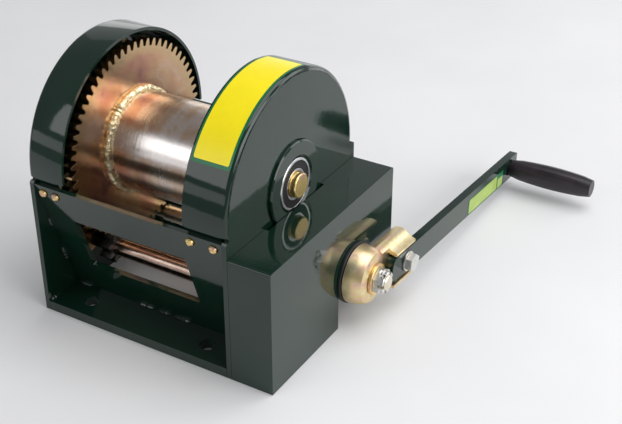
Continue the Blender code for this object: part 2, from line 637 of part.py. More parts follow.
def tube(bm, path, r, n=5):
    """Round wire along a path, closed at both ends."""
    rows = []
    up = Vector((0.0, 0.0, 1.0))
    for i, p in enumerate(path):
        a = path[max(i - 1, 0)]
        b = path[min(i + 1, len(path) - 1)]
        t = (b - a).normalized()
        s = t.cross(up)
        if s.length < 1e-4:
            s = t.cross(Vector((1.0, 0.0, 0.0)))
        s.normalize()
        u = s.cross(t).normalized()
        up = u
        rows.append([bm.verts.new(p + s * (r * math.cos(2 * math.pi * k / n)) + u * (r * math.sin(2 * math.pi * k / n))) for k in range(n)])
    for A, B in zip(rows, rows[1:]):
        for k in range(n):
            bm.faces.new((A[k], A[(k + 1) % n], B[(k + 1) % n], B[k]))
    bm.faces.new(list(reversed(rows[0])))
    bm.faces.new(rows[-1])


# Torsion spring on the pawl pin: coils beside the pawl, one leg on its back.
path = []
R_SP = 4.6
TURNS = 3.0
for k in range(int(TURNS * 8) + 1):
    a = math.radians(200.0) + 2 * math.pi * k / 8
    path.append(Vector((258.4 + 1.5 * k / 8, PAWL_Y + R_SP * math.cos(a), PAWL_Z + R_SP * math.sin(a))))
a_end = math.radians(200.0)
path.append(Vector((path[-1].x + 0.3, PAWL_Y + 14.0 * math.cos(a_end + 0.9), PAWL_Z + 14.0 * math.sin(a_end + 0.9))))
bm = bmesh.new()
tube(bm, path, 0.6)
finish("pawl_spring", bm, STEEL)


# ---------------------------------------------------------------- gear case
def case_outline(off):
    """Case outline with its rear lower corner cut away round the crank."""
    r = CASE_LOBE_R - off
    a = math.atan2(NOTCH_Z - CRANK_Z, NOTCH_Y - CRANK_Y)
    a0 = math.degrees(a)
    a1 = -180.0 - a0
    rc = 2.5 if off == 0 else 1.0
    if off == 0:
        pts = [(0.0, 0.0), (NOTCH_Y, 0.0)]
    else:
        pts = [(off, off), (NOTCH_Y - off, off), (NOTCH_Y - off, NOTCH_Z)]
    pts += arc(CRANK_Y, CRANK_Z, r, a0, a1, 14)
    if off == 0:
        pts += [(FRAME_D, NOTCH_Z)]
    else:
        m = 2 * CRANK_Y - NOTCH_Y
        pts += [(m, NOTCH_Z + off), (FRAME_D - off, NOTCH_Z + off)]
    pts += arc(FRAME_D - off - rc, CASE_H - off - rc, rc, 0, 90, 3) + arc(off + rc, CASE_H - off - rc, rc, 90, 180, 3)
    return pts


def gear_case_mesh():
    x0 = FRAME_W + GAP
    shell = bmesh.new()
    prism(shell, [case_outline(0.0)], x0, CASE_OUT)
    hollow = bmesh.new()
    prism(hollow, [case_outline(CASE_WALL)], x0 - 5.0, CASE_IN)
    notch = bmesh.new()
    box(notch, x0 - 5.0, FRAME_W + 4.1, DRUM_Y - 50.0, DRUM_Y + 50.0, CASE_H - 20.0, CASE_H + 5.0)
    parts = [('DIFFERENCE', hollow), ('DIFFERENCE', notch)]
    for y, z in CASE_SCREWS:
        lug = bmesh.new()
        dy = -1 if y < 100 else 1
        dz = -1 if z < 80 else 1
        y_w = 1.5 if dy < 0 else FRAME_D - 1.5
        z_w = (1.5 if z < 20 else NOTCH_Z + 1.5) if dz < 0 else CASE_H - 1.5
        lug_pts = [(y_w, z_w), (y_w, z - dz * 7), (y - dy * 7, z - dz * 7), (y - dy * 7, z_w)]
        prism(lug, [lug_pts], x0 + 0.5, CASE_IN + 1.5)
        parts.append(('UNION', lug))
    bore = bmesh.new()
    lathe(bore, [(CASE_IN - 3, 0.0), (CASE_IN - 3, BUSH_R + GAP), (CASE_OUT + 3, BUSH_R + GAP), (CASE_OUT + 3, 0.0)], CRANK_Y, CRANK_Z, 20)
    parts.append(('DIFFERENCE', bore))
    for y, z in CASE_SCREWS:
        h = bmesh.new()
        lathe(h, [(x0 - 3, 0.0), (x0 - 3, 3.0 + GAP), (x0 + 14, 3.0 + GAP), (x0 + 14, 0.0)], y, z, 10)
        parts.append(('DIFFERENCE', h))
    return combine(shell, parts)


finish("gear_case", gear_case_mesh(), GREEN)

for i, (y, z) in enumerate(CASE_SCREWS):
    x = FRAME_W - PLATE_T - GAP
    bm = bmesh.new()
    lathe(bm, [(x - 2.0, 0.0), (x - 4.0, 2.6), (x - 4.0, 4.6), (x, 5.5), (x, 3.0), (FRAME_W + 12.6, 3.0), (FRAME_W + 12.6, 0.0)], y, z, 12)
    finish("case_screw_%d" % (i + 1), bm, GOLD)

# ---------------------------------------------------------------- crank hub
HUB = around(CRANK_Y, CRANK_Z, -ARM_DROP)      # local Y runs out along the arm
WEB_X0, WEB_X1 = 289.0, 292.4                  # the hub's web, washer sits on it
ARM_X0 = WEB_X1 + GAP
ARM_X1 = ARM_X0 + ARM_T
CUP_R, CUP_FACE_R = 29.8, 25.0
CH_END = 66.0                                  # channel length from the axis


def hub_mesh():
    """Stamped cup over the shaft with a ribbed channel for the arm."""
    cup = bmesh.new()
    lathe(cup, [(272.3, CUP_R - 3.2), (272.3, CUP_R), (280.0, CUP_R - 0.5), (286.0, CUP_R - 1.9), (290.4, CUP_R - 4.4),
                (292.3, CUP_R - 8.0), (292.3, 10.3 + GAP), (272.0, 10.3 + GAP), (272.0, 14.0), (289.0, 14.0), (289.0, CUP_FACE_R - 3.0),
                (285.0, CUP_R - 5.6), (279.0, CUP_R - 3.7)], 0.0, 0.0, 30, frame=HUB)
    hw = ARM_W / 2 + 0.5
    # channel section (depth, across): lower flange, web, ribbed upper flange
    web = bmesh.new()
    sect = Matrix(((0, 1, 0, 0), (1, 0, 0, 0), (0, 0, 1, 0), (0, 0, 0, 1)))
    prof = [(WEB_X0, -hw - 3.2), (ARM_X1 + 1.9, -hw - 3.2), (ARM_X1 + 1.9, -hw), (WEB_X1, -hw), (WEB_X1, hw + 2.6),
            (ARM_X1 - 0.7, hw + 0.2), (ARM_X1, hw + 0.8), (ARM_X1, hw + 3.4), (295.5, hw + 5.6), (292.5, hw + 7.8), (289.5, hw + 10.4),
            (284.0, hw + 11.6), (278.0, hw + 10.6), (278.0, hw + 7.4), (284.0, hw + 8.4), (287.8, hw + 7.2), (WEB_X0, hw + 4.6)]
    prism(web, [prof], 12.0, CH_END, HUB @ sect)
    bolt = bmesh.new()
    lathe(bolt, [(WEB_X0 - 4, 0.0), (WEB_X0 - 4, 5.0 + GAP), (WEB_X1 + 5, 5.0 + GAP), (WEB_X1 + 5, 0.0)], BOLT_AT, 0.0, 16, frame=HUB)
    upper = bmesh.new()
    box(upper, WEB_X1 + 0.05, WEB_X1 + 30, -30.0, 26.0, 5.0, 45.0, HUB)
    lower = bmesh.new()
    box(lower, WEB_X1 + 0.05, WEB_X1 + 30, -30.0, 20.0, -45.0, 5.0, HUB)
    return combine(cup, [('UNION', web), ('DIFFERENCE', upper), ('DIFFERENCE', lower), ('DIFFERENCE', bolt)])


BOLT_AT = 49.7
finish("crank_hub", hub_mesh(), GOLD, pivot=CR_C)

bm = bmesh.new()
lathe(bm, [(CASE_OUT + GAP, IS_R + GAP), (CASE_OUT + GAP, 31.0), (CASE_OUT + 2.8, 31.0), (CASE_OUT + 3.4, 30.4), (CASE_OUT + 3.4, IS_R + GAP)],
      CRANK_Y, CRANK_Z, 32)
finish("hub_dust_ring", bm, BLACK, pivot=CR_C)

bm = bmesh.new()
wx = WEB_X1 + GAP
lathe(bm, [(wx, THREAD_R + GAP), (wx, 16.0), (wx + 2.5, 16.0), (wx + 3.0, 15.5), (wx + 3.0, THREAD_R + GAP)], CRANK_Y, CRANK_Z, 28)
finish("hub_washer", bm, GOLD, pivot=CR_C)


def hexagon(r_flat, phase=0.0):
    return circle(0.0, 0.0, r_flat / math.cos(math.pi / 6), 6, phase)


PIN_ANGLE = math.radians(120.0)


def castle_nut():
    x0 = wx + 3.0 + GAP
    body = bmesh.new()
    prism(body, [hexagon(12.0, PIN_ANGLE + math.radians(30.0) + ARM_DROP)], x0, x0 + 5.8, HUB)
    crown = bmesh.new()
    lathe(crown, [(x0 + 4.0, 0.0), (x0 + 4.0, 11.0), (x0 + 9.6, 11.0), (x0 + 10.2, 10.4), (x0 + 10.2, 0.0)], 0.0, 0.0, 24, frame=HUB)
    parts = [('UNION', crown)]
    bore = bmesh.new()
    lathe(bore, [(x0 - 2, 0.0), (x0 - 2, THREAD_R + GAP), (x0 + 14, THREAD_R + GAP), (x0 + 14, 0.0)], 0.0, 0.0, 20, frame=HUB)
    parts.append(('DIFFERENCE', bore))
    for k in range(3):
        slot = bmesh.new()
        a = PIN_ANGLE + math.radians(60.0 * k) + ARM_DROP
        box(slot, 302.6 - 2.0, 302.6 + 12.0, -20.0, 20.0, -2.0, 2.0, HUB @ Matrix.Rotation(a, 4, 'X'))
        parts.append(('DIFFERENCE', slot))
    return combine(body, parts)


finish("castle_nut", castle_nut(), ZINC, pivot=CR_C)

# Split pin through the castle nut: an eye on one side, bent legs on the other.
PIN = Matrix.Translation((302.6, CRANK_Y, CRANK_Z)) @ Matrix.Rotation(PIN_ANGLE, 4, 'X')
bm = bmesh.new()
tube(bm, [PIN @ Vector((0.0, -15.6, 1.8)), PIN @ Vector((0.0, -13.6, 0.7)), PIN @ Vector((0.0, -12.0, 0.0)), PIN @ Vector((0.0, 0.0, 0.0)), PIN @ Vector((0.0, 13.2, 0.0))], 1.35, 6)
eye = bmesh.new()
rings = []
for k in range(12):
    a = 2 * math.pi * k / 12
    rings.append([eye.verts.new(PIN @ Vector((0.9 * math.sin(b), 15.8 + (2.9 + 0.9 * math.cos(b)) * math.sin(a), (2.9 + 0.9 * math.cos(b)) * math.cos(a))))
                  for b in [2 * math.pi * j / 5 for j in range(5)]])
for k in range(12):
    A, B = rings[k], rings[(k + 1) % 12]
    for j in range(5):
        eye.faces.new((A[j], A[(j + 1) % 5], B[(j + 1) % 5], B[j]))
finish("split_pin", combine(bm, [('UNION', eye)]), ZINC, pivot=CR_C)


# ---------------------------------------------------------------- crank arm
def arm_mesh():
    hw = ARM_W / 2
    end = ARM_END
    base = [(ARM_START + 9.0 + 9.0 * math.cos(math.radians(t)), hw * math.sin(math.radians(t))) for t in range(100, 261, 16)]
    pts = [(end - 1.2, -hw), (end, -hw + 1.2), (end, hw - 1.2), (end - 1.2, hw)] + base
    b = bmesh.new()
    prism(b, [pts, circle(BOLT_AT, 0.0, 5.0 + GAP, 16), circle(GRIP_AT, 0.0, 5.0 + GAP, 16)], ARM_X0, ARM_X1, HUB)
    return b


finish("crank_arm", arm_mesh(), GREEN, pivot=CR_C)

HEAD_X = ARM_X1 + GAP
bm = bmesh.new()
lathe(bm, [(HEAD_X, 5.0 + GAP), (HEAD_X, 10.5), (HEAD_X + 2.0, 10.5), (HEAD_X + 2.0, 5.0 + GAP)], BOLT_AT, 0.0, 20, frame=HUB)
finish("arm_bolt_washer", bm, ZINC, pivot=CR_C)


def hex_bolt():
    x0 = HEAD_X + 2.0 + GAP
    head = bmesh.new()
    prism(head, [hexagon(8.5, math.radians(24.0))], x0, x0 + 6.4, HUB @ Matrix.Translation((0.0, BOLT_AT, 0.0)))
    shank = bmesh.new()
    lathe(shank, [(x0 + 1.0, 0.0), (x0 + 1.0, 5.0), (WEB_X0 - 11.0, 5.0), (WEB_X0 - 11.0, 0.0)], BOLT_AT, 0.0, 16, frame=HUB)
    return combine(head, [('UNION', shank)])


finish("arm_bolt", hex_bolt(), ZINC, pivot=CR_C)

bm = bmesh.new()
prism(bm, [hexagon(8.5, 0.0), circle(0.0, 0.0, 5.0 + GAP, 16)], WEB_X0 - GAP - 8.0, WEB_X0 - GAP, HUB @ Matrix.Translation((0.0, BOLT_AT, 0.0)))
finish("arm_nut", bm, ZINC, pivot=CR_C)

# ---------------------------------------------------------------- grip
gx = ARM_X1 + 1.0
G_AXIS = HUB @ Vector((0.0, GRIP_AT, 0.0))
bm = bmesh.new()
lathe(bm, [(ARM_X0 - 5.0, 0.0), (ARM_X0 - 5.0, 6.4), (ARM_X0 - 3.0, 7.6), (ARM_X0 - GAP, 7.6), (ARM_X0 - GAP, 5.0), (gx + GRIP_LEN - 8.0, 5.0),
           (gx + GRIP_LEN - 8.0, 7.0), (gx + GRIP_LEN - 6.0, 7.0), (gx + GRIP_LEN - 6.0, 0.0)], GRIP_AT, 0.0, 16, frame=HUB)
finish("grip_spindle", bm, ZINC, pivot=CR_C)


def grip_radius(s):
    """Outer radius along the grip: slim at both ends, fullest in the middle."""
    return 10.8 + 2.6 * math.sin(math.pi * s) + 0.2 * s


def grip_mesh():
    ribs = 10
    n = ribs * 3
    rows = 8
    b = bmesh.new()
    rings = []
    for i in range(rows + 1):
        s = i / rows
        x = gx + GRIP_LEN * s
        row = []
        for k in range(n):
            a = 2 * math.pi * k / n
            groove = 0.5 if (k % 3 == 0 and 0.06 < s < 0.94) else 0.0
            r = grip_radius(s) - groove
            if i == 0 or i == rows:
                r -= 1.2
            row.append(b.verts.new(HUB @ Vector((x, GRIP_AT + r * math.cos(a), r * math.sin(a)))))
        rings.append(row)
    for A, B in zip(rings, rings[1:]):
        for k in range(n):
            b.faces.new((A[k], A[(k + 1) % n], B[(k + 1) % n], B[k]))
    b.faces.new(list(reversed(rings[0])))
    b.faces.new(rings[-1])
    bore = bmesh.new()
    x_out = gx + GRIP_LEN
    lathe(bore, [(gx - 3.0, 0.0), (gx - 3.0, 5.0 + GAP), (x_out - 8.0 - GAP, 5.0 + GAP), (x_out - 8.0 - GAP, 7.0 + GAP), (x_out - 4.0, 7.0 + GAP), (x_out - 4.0, 0.0)],
          GRIP_AT, 0.0, 16, frame=HUB)
    return combine(b, [('DIFFERENCE', bore)])


finish("crank_grip", grip_mesh(), BLACK, pivot=(0.0, G_AXIS.y, G_AXIS.z))
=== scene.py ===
"""Looks for the hand crank trailer winch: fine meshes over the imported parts."""

import json
import math
import random
import bpy
import bmesh
from mathutils import Vector, Matrix, noise
from mathutils.geometry import tessellate_polygon

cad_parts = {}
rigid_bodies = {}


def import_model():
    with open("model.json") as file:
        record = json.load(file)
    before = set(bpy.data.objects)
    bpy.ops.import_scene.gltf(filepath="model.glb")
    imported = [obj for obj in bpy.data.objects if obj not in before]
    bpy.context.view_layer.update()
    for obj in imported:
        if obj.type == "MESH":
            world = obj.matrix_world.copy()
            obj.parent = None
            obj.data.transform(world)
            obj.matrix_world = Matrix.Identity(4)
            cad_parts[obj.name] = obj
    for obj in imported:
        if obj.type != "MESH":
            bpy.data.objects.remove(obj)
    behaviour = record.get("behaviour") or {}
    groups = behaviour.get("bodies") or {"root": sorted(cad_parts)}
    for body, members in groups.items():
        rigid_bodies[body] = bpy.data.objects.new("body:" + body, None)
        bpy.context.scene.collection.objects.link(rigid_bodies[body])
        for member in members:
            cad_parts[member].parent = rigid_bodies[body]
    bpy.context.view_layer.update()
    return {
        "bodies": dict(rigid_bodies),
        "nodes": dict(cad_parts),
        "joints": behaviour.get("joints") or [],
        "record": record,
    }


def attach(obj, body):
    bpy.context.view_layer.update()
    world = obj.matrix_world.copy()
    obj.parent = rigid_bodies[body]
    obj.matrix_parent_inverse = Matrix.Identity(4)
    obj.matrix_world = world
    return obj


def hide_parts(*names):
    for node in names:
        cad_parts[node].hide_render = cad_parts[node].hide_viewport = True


for _o in list(bpy.data.objects):
    bpy.data.objects.remove(_o, do_unlink=True)

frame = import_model()
BODY_OF = {}
for _b, _members in frame["record"]["behaviour"]["bodies"].items():
    for _n in _members:
        BODY_OF[_n] = _b
SLOT_OF = {r["node"]: r["material_slot"] for r in frame["record"]["subparts"]}

FINE = 3                     # how much finer the round shapes are than the solids
HIDDEN = {"countershaft_gear", "idler_cluster_gear", "idler_pin", "input_pinion", "friction_disc_inner",
          "friction_disc_outer", "brake_pressure_plate", "ratchet_wheel", "pawl", "pawl_pin", "pawl_spring",
          "input_bush_case"}
BEVEL = {"side_plate_left": 0.7, "side_plate_right": 0.7, "front_panel": 0.6, "rear_panel": 0.6, "base_strip_front": 0.8,
         "base_strip_rear": 0.8, "gear_case": 1.2, "crank_arm": 0.7, "drum_gear": 0.35, "countershaft_pinion": 0.3,
         "drum_flange": 0.5, "crank_hub": 0.9, "crank_grip": 0.5, "castle_nut": 0.35, "arm_bolt": 0.5, "arm_nut": 0.5,
         "left_cover": 1.0, "right_cover": 1.1, "drum_shaft": 0.6, "split_pin": 0.0, "pawl_spring": 0.0}

# ---------------------------------------------------------------- dimensions
MM = 0.001
GAP = 0.3                    # air between neighbouring parts

FRAME_W = 223.0              # over the two side plates
FRAME_D = 226.0              # front to back
PLATE_T = 5.0                # side plates, front panel and rear panel
BASE_T = 10.0                # base strips
STRIP_D = 52.0               # depth of each base strip
SHOULDER_Z = 145.5           # side plate and rear panel height
PANEL_TOP_Z = 143.5
PANEL_FOOT_Y = 43.4          # how far the panel slopes back at its foot
HOLE_HALF = 70.0             # base holes either side of the middle
HOLE_Y = 21.5
HOLE_R = 8.0

DRUM_Y, DRUM_Z = 110.5, 153.0
COVER_R = 110.5
COVER_T = 3.0
COVER_LIP = 4.5
COVER_LEFT_W = 41.5
COVER_RIGHT_W = 46.1
PLATE_R = 105.9              # round top of the side plates
COVER_END_Z = 150.6          # where the covers' round part stops

BRG_R, BRG_BORE_R, BRG_W = 26.0, 12.5, 15.0     # 25 x 52 x 15 ball bearing
HOUSING_R = 42.6
HOUSING_PROUD = 3.4

DRUM_R, DRUM_WALL = 50.0, 6.0
GEAR_X0, GEAR_X1 = 34.0, 44.0
FLANGE_X0, FLANGE_X1, FLANGE_R = 198.0, 204.0, 94.0
SHAFT_R = 15.0
SHAFT_END_R = BRG_BORE_R

DRUM_MOD, DRUM_TEETH, DRUM_PINION = 3.175, 62, 8
DRUM_SHIFT = 0.50            # long addendum pinion, short addendum gear
PINION_TOPPING = 0.45        # taken off the small pinion's pointed tips
CASE_MOD, CP_TEETH, IG_TEETH, IP_TEETH, SG_TEETH = 2.5, 12, 28, 12, 34
CASE_SHIFT = 0.30
BACKLASH = 0.34

CRANK_Y, CRANK_Z = 146.3, 50.9
CASE_W = 44.8
CASE_H = 129.5
CASE_WALL = 3.0
NOTCH_Y, NOTCH_Z = 118.6, 38.1
CASE_LOBE_R = 30.5

PINION_X0, PINION_X1 = 33.0, 45.0
COUNTER_R = 9.4              # countershaft between the side plates
COUNTER_NECK = 7.5           # its left end, which carries the drum pinion
PLANE_A = (227.0, 236.6)     # idler pinion and countershaft wheel
PLANE_B = (237.6, 247.0)     # crank pinion and idler wheel
RATCHET_TEETH, RATCHET_R, RATCHET_ROOT = 12, 26.0, 21.6
RATCHET_REST = math.radians(5.5)   # a steep face stops this far short of the pawl

ARM_DROP = math.atan(0.0771)   # the arm points back and a little down
ARM_W, ARM_T = 27.0, 9.0
ARM_START, ARM_END = 18.6, 336.5
GRIP_AT = 320.0
GRIP_LEN = 97.0

ORIGIN = Vector((FRAME_W / 2, HOLE_Y, 0.0))


# ---------------------------------------------------------------- surfaces
# countershaft and countershaft_pinion get dark looks as painted shade for their place behind the front panel
LOOK_OF = {"drum_shaft": "turned_gold", "drum_barrel": "drum_gold", "drum_gear": "gear_gold_tint_and_shade", "drum_flange": "gear_gold_tint_and_shade",
           "crank_hub": "hub_gold", "hub_dust_ring": "black_rubber", "input_shaft": "shaft_zinc", "countershaft": "layshaft_painted_shade",
           "countershaft_pinion": "gear_steel", "bearing_seal_left": "seal_rubber", "bearing_seal_right": "seal_rubber"}
MADE = {}


class Build:
    """Short hands for building one node material."""

    def __init__(self, name):
        self.m = bpy.data.materials.new(name)
        self.m.use_nodes = True
        self.t = self.m.node_tree
        self.t.nodes.clear()
        out = self.t.nodes.new('ShaderNodeOutputMaterial')
        self.b = self.t.nodes.new('ShaderNodeBsdfPrincipled')
        self.t.links.new(self.b.outputs[0], out.inputs[0])
        self.c = self.t.nodes.new('ShaderNodeTexCoord').outputs['Object']

    def set(self, **k):
        for key, v in k.items():
            self.b.inputs[key.replace('_', ' ')].default_value = v

    def link(self, a, b):
        self.t.links.new(a, b)

    def stretch(self, s, r=(0, 0, 0)):
        n = self.t.nodes.new('ShaderNodeMapping')
        n.inputs['Scale'].default_value = s
        n.inputs['Rotation'].default_value = r
        self.link(self.c, n.inputs['Vector'])
        return n.outputs[0]

    def noise(self, scale, detail=3.0, rough=0.55, vec=None, warp=0.0):
        n = self.t.nodes.new('ShaderNodeTexNoise')
        n.inputs['Scale'].default_value = scale
        n.inputs['Detail'].default_value = detail
        n.inputs['Roughness'].default_value = rough
        n.inputs['Distortion'].default_value = warp
        self.link(vec if vec is not None else self.c, n.inputs['Vector'])
        return n.outputs['Fac']

    def ramp(self, fac, stops, smooth=True):
        n = self.t.nodes.new('ShaderNodeValToRGB')
        n.color_ramp.interpolation = 'EASE' if smooth else 'LINEAR'
        el = n.color_ramp.elements
        while len(el) < len(stops):
            el.new(0.5)
        for e, (pos, col) in zip(el, stops):
            e.position = pos
            e.color = (*col, 1.0) if isinstance(col, tuple) else (col, col, col, 1.0)
        self.link(fac, n.inputs[0])
        return n.outputs[0]

    def mix(self, fac, a, b, kind='MIX'):
        n = self.t.nodes.new('ShaderNodeMix')
        n.data_type = 'RGBA'
        n.blend_type = kind
        for sock, v in ((n.inputs[0], fac), (n.inputs[6], a), (n.inputs[7], b)):
            if isinstance(v, (int, float)):
                sock.default_value = v
            elif isinstance(v, tuple):
                sock.default_value = (*v, 1.0)
            else:
                self.link(v, sock)
        return n.outputs[2]

    def math(self, op, a, b=0.0):
        n = self.t.nodes.new('ShaderNodeMath')
        n.operation = op
        for sock, v in zip(n.inputs, (a, b)):
            if isinstance(v, (int, float)):
                sock.default_value = v
            else:
                self.link(v, sock)
        return n.outputs[0]

    def span(self, fac, lo, hi):
        n = self.t.nodes.new('ShaderNodeMapRange')
        n.inputs['To Min'].default_value = lo
        n.inputs['To Max'].default_value = hi
        self.link(fac, n.inputs['Value'])
        return n.outputs[0]

    def axis(self, which):
        n = self.t.nodes.new('ShaderNodeSeparateXYZ')
        self.link(self.c, n.inputs[0])
        return n.outputs[which]

    def bump(self, height, strength, distance, under=None):
        n = self.t.nodes.new('ShaderNodeBump')
        n.inputs['Strength'].default_value = strength
        n.inputs['Distance'].default_value = distance
        self.link(height, n.inputs['Height'])
        if under is not None:
            self.link(under, n.inputs['Normal'])
        return n.outputs[0]

    def done(self, colour, rough, normal=None):
        self.link(colour, self.b.inputs['Base Color'])
        self.link(rough, self.b.inputs['Roughness'])
        if normal is not None:
            self.link(normal, self.b.inputs['Normal'])
        return self.m


def green_paint():
    """Gloss enamel over steel: orange peel, a few runs, dust and faint rubs."""
    k = Build("green_paint")
    tone = k.ramp(k.noise(9.0, 4.0), [(0.3, (0.0042, 0.0175, 0.0110)), (0.7, (0.0066, 0.0240, 0.0155))])
    dust = k.ramp(k.noise(950.0, 2.0, 0.6), [(0.70, 0.0), (0.76, 1.0)])
    col = k.mix(k.math('MULTIPLY', dust, 0.10), tone, (0.10, 0.13, 0.11))
    rub = k.ramp(k.noise(60.0, 5.0, 0.7, vec=k.stretch((1.0, 1.0, 9.0))), [(0.62, 0.0), (0.75, 1.0)])
    col = k.mix(k.math('MULTIPLY', rub, 0.25), col, (0.020, 0.045, 0.034))
    rough = k.math('ADD', k.span(k.noise(22.0, 4.0), 0.045, 0.105), k.math('MULTIPLY', rub, 0.05))
    peel = k.bump(k.noise(240.0, 2.0, 0.5), 0.05, 0.0005)
    wave = k.bump(k.noise(22.0, 2.0, 0.5), 0.06, 0.0025, under=peel)
    k.set(Coat_Weight=0.12, Coat_Roughness=0.03, IOR=1.5)
    return k.done(col, rough, wave)


def zinc_gold(name, gold, pink, violet, bands, spread, rough0, rough1, turned, pale=None, rim=None, painted_highlight=False):
    """Yellow passivated zinc: the film shifts from gold to pink and violet."""
    k = Build(name)
    belt = k.noise(bands, 3.0, 0.55, vec=k.stretch((1.0, 0.10, 0.10) if turned else (1.0, 1.0, 1.0)), warp=0.4)
    cloud = k.noise(spread, 4.0, 0.6, warp=0.6)
    f = k.math('ADD', k.math('MULTIPLY', belt, 0.6), k.math('MULTIPLY', cloud, 0.4))
    pale = pale or gold
    film = k.ramp(f, [(0.36, violet), (0.43, pink), (0.49, gold), (0.55, pale), (0.61, gold), (0.68, pink)])
    if rim:        # the film turns yellow towards the toothed rim
        y, z = k.axis(1), k.axis(2)
        r = k.math('SQRT', k.math('ADD', k.math('MULTIPLY', y, y), k.math('MULTIPLY', z, z)))
        edge = k.ramp(k.math('ADD', k.math('MULTIPLY', r, 10.0), k.math('MULTIPLY', cloud, 0.10)), [(0.86, 0.0), (0.96, 1.0)])
        film = k.mix(k.math('MULTIPLY', edge, 0.85), film, rim)
    if painted_highlight:        # painted highlight: a pale, nearly neutral band along the barrel's front, where the window light's reflection falls
        y, z = k.axis(1), k.axis(2)
        turn = k.math('ADD', k.math('ARCTAN2', z, k.math('MULTIPLY', y, -1.0)), k.math('MULTIPLY', cloud, 0.30))
        clear = k.ramp(turn, [(0.30, 0.0), (0.50, 0.9), (0.86, 0.9), (1.0, 0.0)])
        film = k.mix(clear, film, (0.80, 0.76, 0.75))
    stain = k.ramp(k.noise(170.0, 5.0, 0.65), [(0.56, 0.0), (0.78, 1.0)])
    col = k.mix(k.math('MULTIPLY', stain, 0.22), film, tuple(0.55 * c for c in violet))
    fine = k.noise(900.0, 2.0, 0.5, vec=k.stretch((1.0, 0.02, 0.02) if turned else (1.0, 1.0, 1.0)))
    rough = k.math('ADD', k.span(k.noise(45.0, 3.0), rough0, rough1), k.math('MULTIPLY', fine, 0.06))
    n1 = k.bump(fine, 0.22 if turned else 0.12, 0.0004)
    n2 = k.bump(k.noise(60.0, 3.0, 0.5), 0.10, 0.0012, under=n1)
    k.set(Metallic=1.0)
    return k.done(col, rough, n2)


def plated(name, light, dark, rough0, rough1, scale=60.0, grain=1200.0, stretch=(1.0, 1.0, 1.0), bump=0.12):
    """Plated or bare steel with faint stains and a working grain."""
    k = Build(name)
    col = k.ramp(k.noise(scale, 4.0, 0.6), [(0.35, dark), (0.65, light)])
    stain = k.ramp(k.noise(scale * 3.5, 5.0, 0.7), [(0.56, 0.0), (0.78, 1.0)])
    col = k.mix(k.math('MULTIPLY', stain, 0.35), col, tuple(0.5 * c for c in dark))
    fine = k.noise(grain, 2.0, 0.5, vec=k.stretch(stretch))
    rough = k.math('ADD', k.span(k.noise(scale * 1.7, 3.0), rough0, rough1), k.math('MULTIPLY', fine, 0.05))
    k.set(Metallic=1.0)
    return k.done(col, rough, k.bump(fine, bump, 0.0004))


def mould(name, light, dark, rough0, rough1, grain, depth, coat=0.0):
    """Moulded rubber, plastic, lining: a matt skin with a fine grain."""
    k = Build(name)
    col = k.ramp(k.noise(40.0, 4.0, 0.6), [(0.35, dark), (0.68, light)])
    dust = k.ramp(k.noise(700.0, 3.0, 0.6), [(0.66, 0.0), (0.78, 1.0)])
    col = k.mix(k.math('MULTIPLY', dust, 0.12), col, tuple(min(1.0, 6.0 * c + 0.02) for c in light))
    rough = k.span(k.noise(90.0, 3.0), rough0, rough1)
    n1 = k.bump(k.noise(grain, 3.0, 0.6), depth, 0.0005)
    k.set(Coat_Weight=coat, Coat_Roughness=0.2)
    return k.done(col, rough, n1)


def film_print(name, light, dark, rough0=0.30, rough1=0.42):
    """Printed vinyl film under a clear layer, lightly soiled."""
    k = Build(name)
    col = k.ramp(k.noise(55.0, 4.0, 0.6), [(0.3, dark), (0.7, light)])
    soil = k.ramp(k.noise(420.0, 4.0, 0.65), [(0.64, 0.0), (0.80, 1.0)])
    col = k.mix(k.math('MULTIPLY', soil, 0.25), col, tuple(0.35 * c for c in dark))
    rough = k.span(k.noise(80.0, 3.0), rough0, rough1)
    n1 = k.bump(k.noise(150.0, 2.0, 0.5), 0.06, 0.0006)
    k.set(Coat_Weight=0.0)
    return k.done(col, rough, n1)


GOLD_C = (0.70, 0.50, 0.34)
PINK_C = (0.64, 0.40, 0.34)
VIOLET_C = (0.42, 0.25, 0.26)
PALE_C = (0.78, 0.66, 0.58)
RIM_C = (0.66, 0.50, 0.30)


